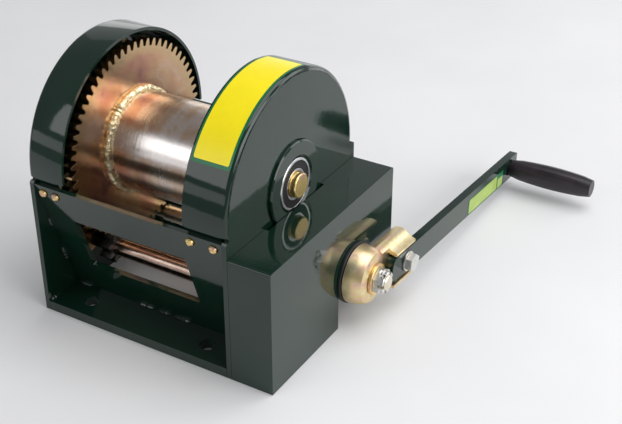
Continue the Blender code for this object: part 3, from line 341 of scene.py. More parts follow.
def surface(name):
    if name in MADE:
        return MADE[name]
    if name == "green_paint":
        m = green_paint()
    elif name == "yellow_zinc":
        m = zinc_gold("yellow_zinc", (0.88, 0.64, 0.26), (0.78, 0.50, 0.34), (0.50, 0.34, 0.28), 60.0, 40.0, 0.20, 0.32, False)
    elif name == "drum_gold":
        # the drum barrel's zinc carries a painted highlight band along its front
        m = zinc_gold("drum_gold", GOLD_C, PINK_C, VIOLET_C, 26.0, 20.0, 0.19, 0.27, True, pale=PALE_C, painted_highlight=True)
    # gear and flange zinc: a darker, redder copy of the drum's zinc, partly its own film tint and partly painted shade
    # for the gear and flange inside the covers
    elif name == "gear_gold_tint_and_shade":
        m = zinc_gold("gear_gold_tint_and_shade", (0.60, 0.37, 0.22), (0.56, 0.30, 0.21), (0.34, 0.18, 0.17), 22.0, 14.0, 0.16, 0.22, False,
                      pale=(0.64, 0.44, 0.30), rim=(0.56, 0.40, 0.22))
    # painted shade: a dark brown base in place of yellow zinc, standing for the shade the countershaft sits in behind
    # the front panel
    elif name == "layshaft_painted_shade":
        m = plated("layshaft_painted_shade", (0.46, 0.34, 0.28), (0.32, 0.23, 0.19), 0.14, 0.24, grain=1500.0, stretch=(0.05, 1.0, 1.0))
    elif name == "shaft_zinc":
        m = plated("shaft_zinc", (0.86, 0.80, 0.66), (0.74, 0.66, 0.50), 0.22, 0.34)
    elif name == "turned_gold":
        m = zinc_gold("turned_gold", (0.90, 0.66, 0.26), (0.80, 0.52, 0.34), (0.50, 0.36, 0.26), 60.0, 30.0, 0.16, 0.26, True)
    elif name == "hub_gold":
        m = zinc_gold("hub_gold", (0.80, 0.64, 0.33), (0.84, 0.60, 0.42), (0.66, 0.48, 0.32), 50.0, 45.0, 0.27, 0.38, False, pale=(0.86, 0.74, 0.48))
    elif name == "weld_gold":
        m = zinc_gold("weld_gold", (0.90, 0.76, 0.44), (0.80, 0.62, 0.40), (0.42, 0.32, 0.22), 160.0, 90.0, 0.26, 0.40, False, pale=(0.92, 0.84, 0.60))
    elif name == "bright_zinc":
        m = plated("bright_zinc", (0.82, 0.81, 0.78), (0.66, 0.66, 0.64), 0.22, 0.34)
    elif name == "ground_steel":
        m = plated("ground_steel", (0.74, 0.75, 0.77), (0.55, 0.56, 0.58), 0.14, 0.26, grain=1600.0, stretch=(1.0, 0.05, 0.05))
    elif name == "gear_steel":
        m = plated("gear_steel", (0.34, 0.33, 0.32), (0.20, 0.19, 0.18), 0.28, 0.42)
    elif name == "bronze":
        m = plated("bronze", (0.70, 0.45, 0.22), (0.50, 0.30, 0.14), 0.26, 0.38)
    elif name == "friction_lining":
        m = mould("friction_lining", (0.10, 0.075, 0.055), (0.05, 0.038, 0.030), 0.75, 0.92, 900.0, 0.6)
    elif name == "black_rubber":
        m = mould("black_rubber", (0.016, 0.016, 0.017), (0.008, 0.008, 0.009), 0.38, 0.52, 1400.0, 0.25)
    elif name == "seal_rubber":
        m = mould("seal_rubber", (0.010, 0.009, 0.011), (0.006, 0.005, 0.006), 0.55, 0.70, 1400.0, 0.25)
    elif name == "black_plastic":
        m = mould("black_plastic", (0.021, 0.014, 0.020), (0.012, 0.008, 0.012), 0.28, 0.40, 1100.0, 0.22)
    elif name == "label_yellow":
        m = film_print("label_yellow", (1.0, 0.83, 0.006), (0.96, 0.79, 0.006))
    elif name == "label_green":
        m = film_print("label_green", (0.003, 0.17, 0.062), (0.002, 0.13, 0.045))
    elif name == "label_lime":
        m = film_print("label_lime", (0.42, 0.56, 0.12), (0.33, 0.46, 0.09))
    MADE[name] = m
    return m


GREEN = "green_paint"
GOLD = "yellow_zinc"
ZINC = "bright_zinc"
STEEL = "ground_steel"
DARKSTEEL = "gear_steel"
BRONZE = "bronze"
FRICTION = "friction_lining"
BLACK = "black_rubber"


# ---------------------------------------------------------------- mesh tools
def tidy(bm):
    """Weld doubles and make every face look outwards."""
    bmesh.ops.remove_doubles(bm, verts=bm.verts[:], dist=0.0005)
    bmesh.ops.recalc_face_normals(bm, faces=bm.faces[:])
    if bm.calc_volume(signed=True) < 0.0:
        bmesh.ops.reverse_faces(bm, faces=bm.faces[:])


def finish(name, bm, look, pivot=None, angle=32.0):
    """Make the shown piece for a CAD node: placed, bevelled, riding, finished."""
    tidy(bm)
    bmesh.ops.dissolve_limit(bm, angle_limit=math.radians(0.6), verts=bm.verts[:], edges=bm.edges[:], delimit={'NORMAL'})
    p = Vector(pivot) if pivot is not None else ORIGIN
    for v in bm.verts:
        v.co = (v.co - p) * MM
    me = bpy.data.meshes.new(name + "_look")
    bm.to_mesh(me)
    bm.free()
    for poly in me.polygons:
        poly.use_smooth = True
    me.set_sharp_from_angle(angle=math.radians(angle))
    ob = bpy.data.objects.new(name + "_look", me)
    bpy.context.scene.collection.objects.link(ob)
    ob.location = (p - ORIGIN) * MM
    width = BEVEL.get(name, 0.3)
    if name not in HIDDEN and width > 0:
        mod = ob.modifiers.new("edge", 'BEVEL')
        mod.width = width * MM
        mod.segments = 2
        mod.limit_method = 'ANGLE'
        mod.angle_limit = math.radians(38)
        mod.harden_normals = True
        mod.use_clamp_overlap = True
    slot = SLOT_OF[name]
    me.materials.append(surface(LOOK_OF.get(name, slot)))
    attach(ob, BODY_OF[name])
    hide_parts(name)
    return ob


def to_world(points, x, frame):
    """Local 2-D points plus a depth along the axis, through a frame."""
    return [frame @ Vector((x, a, b)) for a, b in points]


IDENT = Matrix.Identity(4)


def prism(bm, loops, x0, x1, frame=IDENT):
    """Extrude a flat outline, with optional holes, from depth x0 to x1."""
    flat = [[Vector((a, b, 0.0)) for a, b in lp] for lp in loops]
    tris = tessellate_polygon(flat)
    pts = [p for lp in loops for p in lp]
    lo = [bm.verts.new(v) for v in to_world(pts, x0, frame)]
    hi = [bm.verts.new(v) for v in to_world(pts, x1, frame)]
    for t in tris:
        if len(set(t)) == 3:
            bm.faces.new([lo[i] for i in t])
            bm.faces.new([hi[i] for i in reversed(t)])
    base = 0
    for lp in loops:
        n = len(lp)
        for i in range(n):
            j = (i + 1) % n
            bm.faces.new((lo[base + i], lo[base + j], hi[base + j], hi[base + i]))
        base += n


def circle(cy, cz, r, n, phase=0.0):
    n = n if n == 6 else n * FINE
    return [(cy + r * math.cos(phase + 2 * math.pi * i / n),
             cz + r * math.sin(phase + 2 * math.pi * i / n)) for i in range(n)]


def arc(cy, cz, r, a0, a1, n):
    n = n * FINE
    return [(cy + r * math.cos(math.radians(a0 + (a1 - a0) * i / n)),
             cz + r * math.sin(math.radians(a0 + (a1 - a0) * i / n))) for i in range(n + 1)]


def lathe(bm, profile, cy, cz, n, a0=0.0, a1=360.0, frame=IDENT):
    """Revolve a closed (depth, radius) outline about the X direction."""
    n = n * FINE
    full = abs(a1 - a0 - 360.0) < 1e-6
    steps = n if full else n + 1
    rings = []
    for k in range(steps):
        a = math.radians(a0 + (a1 - a0) * k / n)
        row = []
        for x, r in profile:
            if r < 1e-6 and k > 0:
                row.append(rings[0][len(row)])
            else:
                row.append(bm.verts.new(frame @ Vector((x, cy + r * math.cos(a), cz + r * math.sin(a)))))
        rings.append(row)
    m = len(profile)
    for k in range(n):
        A, B = rings[k], rings[(k + 1) % steps]
        for i in range(m):
            j = (i + 1) % m
            q = []
            for v in (A[i], A[j], B[j], B[i]):
                if v not in q:
                    q.append(v)
            if len(q) >= 3:
                bm.faces.new(q)
    if not full:
        for row in (rings[0], rings[-1]):
            for t in tessellate_polygon([[Vector((x, r, 0.0)) for x, r in profile]]):
                bm.faces.new([row[i] for i in t])


def box(bm, x0, x1, y0, y1, z0, z1, frame=IDENT):
    prism(bm, [[(y0, z0), (y1, z0), (y1, z1), (y0, z1)]], x0, x1, frame)


def scratch(bm):
    """A throw-away object in millimetres, used to join or cut shapes."""
    tidy(bm)
    me = bpy.data.meshes.new("scratch")
    bm.to_mesh(me)
    bm.free()
    ob = bpy.data.objects.new("scratch", me)
    bpy.context.scene.collection.objects.link(ob)
    return ob


def combine(first, others):
    """Join ('UNION') or cut ('DIFFERENCE') solids; returns a bmesh."""
    a = scratch(first)
    for op, bm in others:
        b = scratch(bm)
        mod = a.modifiers.new("b", 'BOOLEAN')
        mod.operation = op
        mod.solver = 'EXACT'
        mod.object = b
        dg = bpy.context.evaluated_depsgraph_get()
        me = bpy.data.meshes.new_from_object(a.evaluated_get(dg))
        a.modifiers.clear()
        a.data = me
        bpy.data.objects.remove(b, do_unlink=True)
    out = bmesh.new()
    out.from_mesh(a.data)
    bpy.data.objects.remove(a, do_unlink=True)
    bmesh.ops.dissolve_degenerate(out, dist=0.0005, edges=out.edges[:])
    return out


def gear_outline(cy, cz, teeth, mod, shift, phase, flank=4, backlash=BACKLASH, topping=0.0):
    """Involute spur outline, pressure angle 20 degrees.

    shift is the profile shift; the root is cut 1.25 modules below the pitch
    line and the tip is one module above it, both moved by the shift.
    """
    al = math.radians(20.0)
    flank = max(flank, 4)
    r = mod * teeth / 2
    rb = r * math.cos(al)
    tip = r + (1.0 + shift) * mod - topping
    root = r - (1.25 - shift) * mod
    inv = lambda t: math.tan(t) - t
    half = (math.pi / 2 + 2 * shift * math.tan(al)) / teeth - backlash / (4 * r)

    def width(rr):
        rr = max(rr, rb)
        return half + inv(al) - inv(math.acos(rb / rr))
    start = max(root, rb)
    radii = []
    if root < rb - 0.05:
        radii.append(root)
    radii += [start + (tip - start) * i / flank for i in range(flank + 1)]
    pts = []
    for k in range(teeth):
        c = phase + 2 * math.pi * k / teeth
        for rr in radii:
            a = c - width(rr)
            pts.append((cy + rr * math.cos(a), cz + rr * math.sin(a)))
        for rr in reversed(radii):
            a = c + width(rr)
            pts.append((cy + rr * math.cos(a), cz + rr * math.sin(a)))
    return pts


def around(cy, cz, ang):
    """Frame whose local Y runs along the given direction in the YZ plane."""
    return Matrix.Translation((0.0, cy, cz)) @ Matrix.Rotation(ang, 4, 'X')


def along_y(x, z):
    """Frame for parts turned about the Y direction: local X depth runs +Y."""
    m = Matrix(((0, 1, 0, x), (1, 0, 0, 0), (0, 0, -1, z), (0, 0, 0, 1)))
    return m


# ---------------------------------------------------------------- gear train
# The countershaft stands one drum mesh below the drum, swung to the front.
DRUM_CD = DRUM_MOD * (DRUM_TEETH + DRUM_PINION) / 2
SWING = math.radians(23.8)
CS_Y = DRUM_Y - DRUM_CD * math.sin(SWING)
CS_Z = DRUM_Z - DRUM_CD * math.cos(SWING)
# The idler sits where both case meshes close, above the line joining the shafts.
CD_A = CASE_MOD * (CP_TEETH + IG_TEETH) / 2
CD_B = CASE_MOD * (IP_TEETH + SG_TEETH) / 2
_dy, _dz = CS_Y - CRANK_Y, CS_Z - CRANK_Z
_d = math.hypot(_dy, _dz)
_a = (CD_A ** 2 - CD_B ** 2 + _d ** 2) / (2 * _d)
_h = math.sqrt(CD_A ** 2 - _a ** 2)
ID_Y = CRANK_Y + _a * _dy / _d + _h * _dz / _d
ID_Z = CRANK_Z + _a * _dz / _d - _h * _dy / _d

DRUM_C = (0.0, DRUM_Y, DRUM_Z)
CS_C = (0.0, CS_Y, CS_Z)
ID_C = (0.0, ID_Y, ID_Z)
CR_C = (0.0, CRANK_Y, CRANK_Z)


def heading(a, b):
    return math.atan2(b[2] - a[2], b[1] - a[1])


# tooth of the smaller wheel faces a gap of the larger wheel on each centre line
PH_DRUM = heading(DRUM_C, CS_C) + math.pi / DRUM_TEETH
PH_DP = heading(CS_C, DRUM_C)
PH_IG = heading(ID_C, CR_C) + math.pi / IG_TEETH
PH_CP = heading(CR_C, ID_C)
PH_SG = heading(CS_C, ID_C) + math.pi / SG_TEETH
PH_IP = heading(ID_C, CS_C)


# ---------------------------------------------------------------- frame plates
def plate_outline():
    a = math.degrees(math.asin((SHOULDER_Z - DRUM_Z) / PLATE_R))
    pts = [(0.0, 0.0), (FRAME_D, 0.0), (FRAME_D, SHOULDER_Z - 1.0), (FRAME_D - 1.0, SHOULDER_Z)]
    pts += arc(DRUM_Y, DRUM_Z, PLATE_R, a, 180.0 - a, 40)
    pts += [(1.5, SHOULDER_Z), (0.0, PANEL_TOP_Z)]
    return pts


BUSH_R = 14.0
CASE_SCREWS = [(13.0, 18.0), (28.5, 116.5), (212.5, 116.5), (212.5, 51.1)]

holes = [circle(DRUM_Y, DRUM_Z, HOUSING_R + GAP, 36), circle(CS_Y, CS_Z, BUSH_R + GAP, 20),
         circle(CRANK_Y, CRANK_Z, BUSH_R + GAP, 20)]
bm = bmesh.new()
prism(bm, [plate_outline()] + holes, 0.0, PLATE_T)
finish("side_plate_left", bm, GREEN)
bm = bmesh.new()
prism(bm, [plate_outline()] + holes + [circle(ID_Y, ID_Z, 6.0 + GAP, 16)]
      + [circle(y, z, 3.3, 10) for y, z in CASE_SCREWS], FRAME_W - PLATE_T, FRAME_W)
finish("side_plate_right", bm, GREEN)

IN0, IN1 = PLATE_T + GAP, FRAME_W - PLATE_T - GAP
FRONT_SCREWS = [13.3, 28.0, 182.4, 207.4]
SCREW_R, SCREW_HEAD_R = 2.5, 4.6
SLOPE = math.atan2(PANEL_FOOT_Y, PANEL_TOP_Z - BASE_T)
SLOPE_LEN = math.hypot(PANEL_FOOT_Y, PANEL_TOP_Z - BASE_T)
SCREW_DOWN = 9.6             # screw centres below the panel's top edge

# Panel frame: local X is the way through the plate (back and up), local Y is
# across (-X of the winch), local Z runs up the slope.  Origin at the top edge.
PANEL = Matrix.Translation((0.0, 0.0, PANEL_TOP_Z)) @ Matrix((
    (0, 1, 0, 0),
    (math.cos(SLOPE), 0, -math.sin(SLOPE), 0),
    (math.sin(SLOPE), 0, math.cos(SLOPE), 0),
    (0, 0, 0, 1)))
WIN_X0, WIN_X1 = 39.0, 168.2
WIN_TOP, WIN_BOT = 39.0, 101.5      # measured down the slope


def rounded(x0, x1, z0, z1, r, n=3):
    pts = arc(x1 - r, z0 + r, r, -90, 0, n) + arc(x1 - r, z1 - r, r, 0, 90, n)
    pts += arc(x0 + r, z1 - r, r, 90, 180, n) + arc(x0 + r, z0 + r, r, 180, 270, n)
    return pts


def front_panel_mesh():
    rise = PLATE_T * math.tan(SLOPE)
    body = bmesh.new()
    outer = [(IN0, -SLOPE_LEN - 4.0), (IN1, -SLOPE_LEN - 4.0), (IN1, 4.0), (IN0, 4.0)]
    prism(body, [outer, rounded(WIN_X0, WIN_X1, -WIN_BOT, -WIN_TOP, 2.0)]
          + [circle(x, -SCREW_DOWN, SCREW_R + GAP, 12) for x in FRONT_SCREWS], 0.0, PLATE_T, PANEL)
    top = bmesh.new()
    box(top, -5, FRAME_W + 5, -20, 30, PANEL_TOP_Z, PANEL_TOP_Z + 20)
    foot = bmesh.new()
    box(foot, -5, FRAME_W + 5, 20, 80, -20, BASE_T + GAP)
    return combine(body, [('DIFFERENCE', top), ('DIFFERENCE', foot)])


finish("front_panel", front_panel_mesh(), GREEN)

# Rear panel: upright, with its own window.
REAR = Matrix(((0, 1, 0, 0), (1, 0, 0, 0), (0, 0, 1, 0), (0, 0, 0, 1)))
REAR_SCREW_X = (20.0, 195.0)
REAR_SCREW_Z = 136.0
bm = bmesh.new()
prism(bm, [[(IN0, BASE_T + GAP), (IN1, BASE_T + GAP), (IN1, SHOULDER_Z), (IN0, SHOULDER_Z)],
           rounded(45.0, 178.0, 44.0, 106.0, 4.0)]
      + [circle(x, REAR_SCREW_Z, SCREW_R + GAP, 12) for x in REAR_SCREW_X],
      FRAME_D - PLATE_T, FRAME_D, REAR)
finish("rear_panel", bm, GREEN)

UP = Matrix(((0, 1, 0, 0), (0, 0, 1, 0), (1, 0, 0, 0), (0, 0, 0, 1)))   # local (z, x, y)
MID = FRAME_W / 2
for nm, y0, hy in (("base_strip_front", 0.0, HOLE_Y), ("base_strip_rear", FRAME_D - STRIP_D, FRAME_D - HOLE_Y)):
    bm = bmesh.new()
    prism(bm, [[(IN0, y0), (IN1, y0), (IN1, y0 + STRIP_D), (IN0, y0 + STRIP_D)],
               circle(MID - HOLE_HALF, hy, HOLE_R, 20), circle(MID + HOLE_HALF, hy, HOLE_R, 20)],
          0.0, BASE_T, UP)
    finish(nm, bm, GREEN)


# ---------------------------------------------------------------- covers
def cover_profile(width):
    """Band, rounded outer lip, open inner edge; depth runs inward."""
    r0 = COVER_R - COVER_LIP
    pts = [(width, COVER_R - COVER_T), (width, COVER_R)]
    pts += [(COVER_LIP - COVER_LIP * math.sin(math.radians(t)), r0 + COVER_LIP * math.cos(math.radians(t)))
            for t in (0, 30, 60, 86)]
    pts += [(0.02, PLATE_R + GAP), (PLATE_T + GAP, PLATE_R + GAP), (PLATE_T + GAP, COVER_R - COVER_T)]
    return pts


def cover(name, width, mirror, tab0, tab1, screws, rear_x):
    """Half-round cover with a front tab and a rear tab that tuck inside."""
    def xx(d):
        return FRAME_W - d if mirror else d
    prof = [(xx(x), r) for x, r in cover_profile(width)]
    if mirror:
        prof.reverse()
    ring = bmesh.new()
    drop = math.degrees(math.asin((DRUM_Z - COVER_END_Z) / COVER_R))
    lathe(ring, prof, DRUM_Y, DRUM_Z, 32, -drop, 180.0 + drop)
    a, b = sorted((xx(tab0), xx(tab1)))
    # front tab: short shelf under the band, then a strip behind the panel
    back = PLATE_T + GAP
    strip = bmesh.new()
    prism(strip, [[(a, -20.0), (b, -20.0), (b, 9.0), (a, 9.0)]] + [circle(x, -SCREW_DOWN, SCREW_R + GAP, 12) for x in screws],
          back, back + COVER_T, PANEL)
    shelf = bmesh.new()
    box(shelf, a, b, 1.0, back + 5.0, 149.4, 152.2)
    # rear tab: straight strip inside the rear panel
    rb = FRAME_D - PLATE_T - GAP
    rear = bmesh.new()
    prism(rear, [[(a, 126.0), (b, 126.0), (b, 153.0), (a, 153.0)], circle(rear_x, REAR_SCREW_Z, SCREW_R + GAP, 12)],
          rb - COVER_T, rb, REAR)
    return finish(name, combine(ring, [('UNION', shelf), ('UNION', strip), ('UNION', rear)]), GREEN)


cover("left_cover", COVER_LEFT_W, False, 6.5, 32.2, FRONT_SCREWS[:2], REAR_SCREW_X[0])
cover("right_cover", COVER_RIGHT_W, True, 8.0, 44.0, FRONT_SCREWS[2:], REAR_SCREW_X[1])


def turned(profile):
    """Close a turned outline on its axis."""
    return [(profile[0][0], 0.0)] + profile + [(profile[-1][0], 0.0)]


def pan_head(name, frame, x0, shank_end):
    """Low domed head with a driver recess, plain shank."""
    head = [(x0 - 0.3, SCREW_HEAD_R), (x0 - 1.8, SCREW_HEAD_R - 0.6), (x0 - 3.0, SCREW_HEAD_R - 2.4), (x0 - 3.0, 1.5)]
    prof = [(x0 - 1.4, 0.0)] + list(reversed(head)) + [(x0 - 0.3, SCREW_R), (shank_end, SCREW_R), (shank_end, 0.0)]
    b = bmesh.new()
    lathe(b, prof, 0.0, 0.0, 14, frame=frame)
    return finish(name, b, GOLD)


for i, x in enumerate(FRONT_SCREWS):
    pan_head("cover_screw_front_%d" % (i + 1), PANEL @ Matrix.Translation((0.0, x, -SCREW_DOWN)), 0.0, PLATE_T + COVER_T + 1.0)
for i, x in enumerate(REAR_SCREW_X):
    flip = REAR @ Matrix.Translation((FRAME_D, x, REAR_SCREW_Z)) @ Matrix.Rotation(math.pi, 4, 'Z')
    pan_head("cover_screw_rear_%d" % (i + 1), flip, 0.0, PLATE_T + COVER_T + 1.0)


# ---------------------------------------------------------------- drum bearings
def mirrored(prof, side):
    """Profiles are drawn for the crank side; side -1 gives the far side."""
    if side > 0:
        return [(FRAME_W + x, r) for x, r in prof]
    return [(-x, r) for x, r in reversed(prof)]


HP = HOUSING_PROUD
BRG_OUT = HP - 0.6            # outer face of the bearing from the plate face
BRG_IN = BRG_OUT - BRG_W
for nm, s in (("left", -1), ("right", 1)):
    bm = bmesh.new()
    lathe(bm, mirrored([(HP - 1.4, HOUSING_R), (HP, HOUSING_R - 1.4), (HP, BRG_R + 2.2), (HP - 2.0, BRG_R + 0.05),
                        (BRG_IN - GAP, BRG_R + 0.05), (BRG_IN - GAP, BRG_R - 3.5), (BRG_IN - 3.5, BRG_R - 3.5),
                        (BRG_IN - 3.5, HOUSING_R)], s), DRUM_Y, DRUM_Z, 32)
    finish("bearing_housing_" + nm, bm, GREEN)
    ro, ri = BRG_R - GAP, BRG_BORE_R + 0.05
    bm = bmesh.new()
    lathe(bm, mirrored([(BRG_OUT, ro - 0.6), (BRG_OUT, 22.9), (BRG_IN, 22.9), (BRG_IN, ro), (BRG_OUT - 0.6, ro)], s), DRUM_Y, DRUM_Z, 28)
    finish("bearing_outer_ring_" + nm, bm, STEEL)
    bm = bmesh.new()
    lathe(bm, mirrored([(BRG_OUT, ri + 0.6), (BRG_OUT - 0.6, ri), (BRG_IN, ri), (BRG_IN, 15.4), (BRG_OUT, 15.4)], s), DRUM_Y, DRUM_Z, 28)
    finish("bearing_inner_ring_" + nm, bm, STEEL, pivot=DRUM_C)
    bm = bmesh.new()
    lathe(bm, mirrored([(BRG_OUT - 0.4, 15.75), (BRG_OUT - 1.8, 15.75), (BRG_OUT - 1.8, 22.6), (BRG_OUT - 0.4, 22.6), (BRG_OUT - 0.7, 19.2)], s),
          DRUM_Y, DRUM_Z, 28)
    finish("bearing_seal_" + nm, bm, BLACK)

# ---------------------------------------------------------------- drum
END_X = FRAME_W + 9.0
bm = bmesh.new()
half = [(END_X, SHAFT_END_R - 1.0), (END_X - 1.0, SHAFT_END_R - 0.3), (FRAME_W + BRG_IN - 0.2, SHAFT_END_R - 0.3), (FRAME_W + BRG_IN - 0.2, SHAFT_R)]
lo_half = [(FRAME_W - x, r) for x, r in half]
lathe(bm, turned(lo_half + list(reversed(half))), DRUM_Y, DRUM_Z, 24)
finish("drum_shaft", bm, GOLD, pivot=DRUM_C)

bm = bmesh.new()
bx0, bx1 = GEAR_X1 + GAP, FLANGE_X0 - GAP
lathe(bm, [(bx0, DRUM_R - DRUM_WALL), (bx0, DRUM_R), (bx1, DRUM_R), (bx1, DRUM_R - DRUM_WALL)], DRUM_Y, DRUM_Z, 40)
finish("drum_barrel", bm, GOLD, pivot=DRUM_C)

bm = bmesh.new()
prism(bm, [gear_outline(DRUM_Y, DRUM_Z, DRUM_TEETH, DRUM_MOD, -DRUM_SHIFT, PH_DRUM, flank=1), circle(DRUM_Y, DRUM_Z, SHAFT_R + GAP, 24)],
      GEAR_X0, GEAR_X1)
finish("drum_gear", bm, GOLD, pivot=DRUM_C)

bm = bmesh.new()
lathe(bm, [(FLANGE_X0, SHAFT_R + GAP), (FLANGE_X0, FLANGE_R), (FLANGE_X1, FLANGE_R), (FLANGE_X1, SHAFT_R + GAP)], DRUM_Y, DRUM_Z, 40)
finish("drum_flange", bm, GOLD, pivot=DRUM_C)

# ---------------------------------------------------------------- countershaft
CS_END = 9.0                 # journal and wheel seat radius
CASE_IN = FRAME_W + CASE_W - CASE_WALL
bm = bmesh.new()
lathe(bm, [(0.6, 0.0), (0.6, COUNTER_NECK), (PINION_X1 + 0.4, COUNTER_NECK), (PINION_X1 + 0.4, COUNTER_R), (214.0, COUNTER_R), (214.0, CS_END),
           (PLANE_A[1] + 0.6, CS_END), (PLANE_A[1] + 0.6, 0.0)], CS_Y, CS_Z, 20)
finish("countershaft", bm, GOLD, pivot=CS_C)

bm = bmesh.new()
prism(bm, [gear_outline(CS_Y, CS_Z, DRUM_PINION, DRUM_MOD, DRUM_SHIFT, PH_DP, flank=3, topping=PINION_TOPPING), circle(CS_Y, CS_Z, COUNTER_NECK + GAP, 20)],
      PINION_X0, PINION_X1)
finish("countershaft_pinion", bm, GOLD, pivot=CS_C)

bm = bmesh.new()
prism(bm, [gear_outline(CS_Y, CS_Z, SG_TEETH, CASE_MOD, -CASE_SHIFT, PH_SG, flank=1), circle(CS_Y, CS_Z, CS_END + GAP, 20)], *PLANE_A)
finish("countershaft_gear", bm, DARKSTEEL, pivot=CS_C)


def bush(name, x0, x1, flange_x, r_in, cy, cz, fr=None):
    """Plain bush with a thin flange on one side."""
    fr = fr or BUSH_R + 3.0
    b = bmesh.new()
    if flange_x > x1:
        prof = [(x0, r_in), (x0, BUSH_R), (x1, BUSH_R), (x1, fr), (flange_x, fr), (flange_x, r_in)]
    else:
        prof = [(flange_x, r_in), (flange_x, fr), (x0, fr), (x0, BUSH_R), (x1, BUSH_R), (x1, r_in)]
    lathe(b, prof, cy, cz, 20)
    return finish(name, b, BRONZE)


bush("countershaft_bush_left", 0.4, PLATE_T + GAP, PLATE_T + 2.3, COUNTER_NECK + GAP, CS_Y, CS_Z)
bush("countershaft_bush_right", FRAME_W - PLATE_T - GAP, FRAME_W + 1.0, FRAME_W - PLATE_T - 2.3, CS_END + GAP, CS_Y, CS_Z)

# ---------------------------------------------------------------- idler
bm = bmesh.new()
lathe(bm, [(FRAME_W - PLATE_T + 0.2, 0.0), (FRAME_W - PLATE_T + 0.2, 6.0), (CASE_IN - GAP, 6.0), (CASE_IN - GAP, 0.0)], ID_Y, ID_Z, 16)
finish("idler_pin", bm, STEEL)

ip = bmesh.new()
prism(ip, [gear_outline(ID_Y, ID_Z, IP_TEETH, CASE_MOD, CASE_SHIFT, PH_IP, flank=1), circle(ID_Y, ID_Z, 6.0 + GAP, 16)], PLANE_A[0], PLANE_B[0] + 1.0)
ig = bmesh.new()
prism(ig, [gear_outline(ID_Y, ID_Z, IG_TEETH, CASE_MOD, -CASE_SHIFT, PH_IG, flank=1), circle(ID_Y, ID_Z, 6.0 + GAP, 16)], *PLANE_B)
finish("idler_cluster_gear", combine(ig, [('UNION', ip)]), DARKSTEEL, pivot=ID_C)

# ---------------------------------------------------------------- crank shaft
CASE_OUT = FRAME_W + CASE_W
IS_R = 10.0
NECK_R = 7.0                 # slimmer where the shaft passes the drum gear
THREAD_R = 8.0
NUT_END = 307.4
bm = bmesh.new()
lathe(bm, [(0.6, 0.0), (0.6, NECK_R), (GEAR_X1 + 1.4, NECK_R), (GEAR_X1 + 1.4, 9.0), (214.0, 9.0), (214.0, IS_R), (292.4, IS_R), (292.4, THREAD_R), (NUT_END - 1.0, THREAD_R),
           (NUT_END, THREAD_R - 1.0), (NUT_END, 0.0)], CRANK_Y, CRANK_Z, 20)
shaft = bm
pin_hole = bmesh.new()
lathe(pin_hole, [(-12.0, 0.0), (-12.0, 1.9), (12.0, 1.9), (12.0, 0.0)], 0.0, 0.0, 8,
      frame=Matrix.Translation((302.6, CRANK_Y, CRANK_Z)) @ Matrix.Rotation(math.radians(-60), 4, 'X') @ Matrix.Rotation(math.radians(90), 4, 'Z'))
finish("input_shaft", combine(shaft, [('DIFFERENCE', pin_hole)]), GOLD, pivot=CR_C)

# The pinion carries the brake's first face as a collar.
bm = bmesh.new()
prism(bm, [gear_outline(CRANK_Y, CRANK_Z, CP_TEETH, CASE_MOD, CASE_SHIFT, PH_CP, flank=1), circle(CRANK_Y, CRANK_Z, IS_R + GAP, 20)], PLANE_B[0], PLANE_B[1] + 2.0)
collar = bmesh.new()
lathe(collar, [(248.2, 10.6), (248.2, 24.5), (250.6, 24.5), (250.6, 10.6)], CRANK_Y, CRANK_Z, 28)
finish("input_pinion", combine(bm, [('UNION', collar)]), DARKSTEEL, pivot=CR_C)

bush("input_bush_left", 0.4, PLATE_T + GAP, PLATE_T + 2.3, NECK_R + GAP, CRANK_Y, CRANK_Z)
bush("input_bush_case", CASE_IN - GAP, CASE_OUT - 0.2, CASE_IN - 2.3, IS_R + GAP, CRANK_Y, CRANK_Z)


def disc(name, x0, x1, r_in, r_out, look, n=28, pivot=CR_C):
    b = bmesh.new()
    lathe(b, [(x0, r_in), (x0, r_out), (x1, r_out), (x1, r_in)], CRANK_Y, CRANK_Z, n)
    return finish(name, b, look, pivot=pivot)


disc("friction_disc_inner", 250.9, 252.7, 12.5, 24.0, FRICTION)
disc("friction_disc_outer", 257.7, 259.5, 12.5, 24.0, FRICTION)
disc("brake_pressure_plate", 259.8, 262.1, IS_R + GAP, 24.5, STEEL)


def ratchet_outline():
    """Saw teeth; every steep face looks to the rear when it is at the top.

    At rest the pawl's nose lies just behind a steep face, so it can lift.
    """
    step = 2 * math.pi / RATCHET_TEETH
    shape = ((0.0, 0.0), (0.35, 0.3), (0.65, 2.0), (0.93, RATCHET_R - RATCHET_ROOT), (0.995, RATCHET_R - RATCHET_ROOT))
    pts = []
    for k in range(RATCHET_TEETH):
        for f, h in shape:
            a = (k + f) * step - RATCHET_REST
            pts.append((CRANK_Y - (RATCHET_ROOT + h) * math.cos(a), CRANK_Z + (RATCHET_ROOT + h) * math.sin(a)))
    return pts


bm = bmesh.new()
prism(bm, [ratchet_outline(), circle(CRANK_Y, CRANK_Z, IS_R + GAP + 0.4, 20)], 253.0, 257.4)
finish("ratchet_wheel", bm, DARKSTEEL, pivot=CR_C)

# Pawl: a strut from its pin, behind and above the wheel, down to the steep
# face that stands at the top of the wheel.
PAWL_Y, PAWL_Z = CRANK_Y + 29.0, CRANK_Z + 37.0


def pawl_outline():
    nose = (CRANK_Y + 0.4, CRANK_Z + RATCHET_ROOT + 0.8)
    top = (CRANK_Y + 0.4, CRANK_Z + RATCHET_ROOT + 6.2)
    low = (CRANK_Y + 4.5, CRANK_Z + RATCHET_ROOT + 1.3)
    ang = math.degrees(math.atan2(nose[1] - PAWL_Z, nose[0] - PAWL_Y))
    eye = arc(PAWL_Y, PAWL_Z, 6.5, ang + 85, ang + 275, 12)
    return [nose, low] + eye + [top]


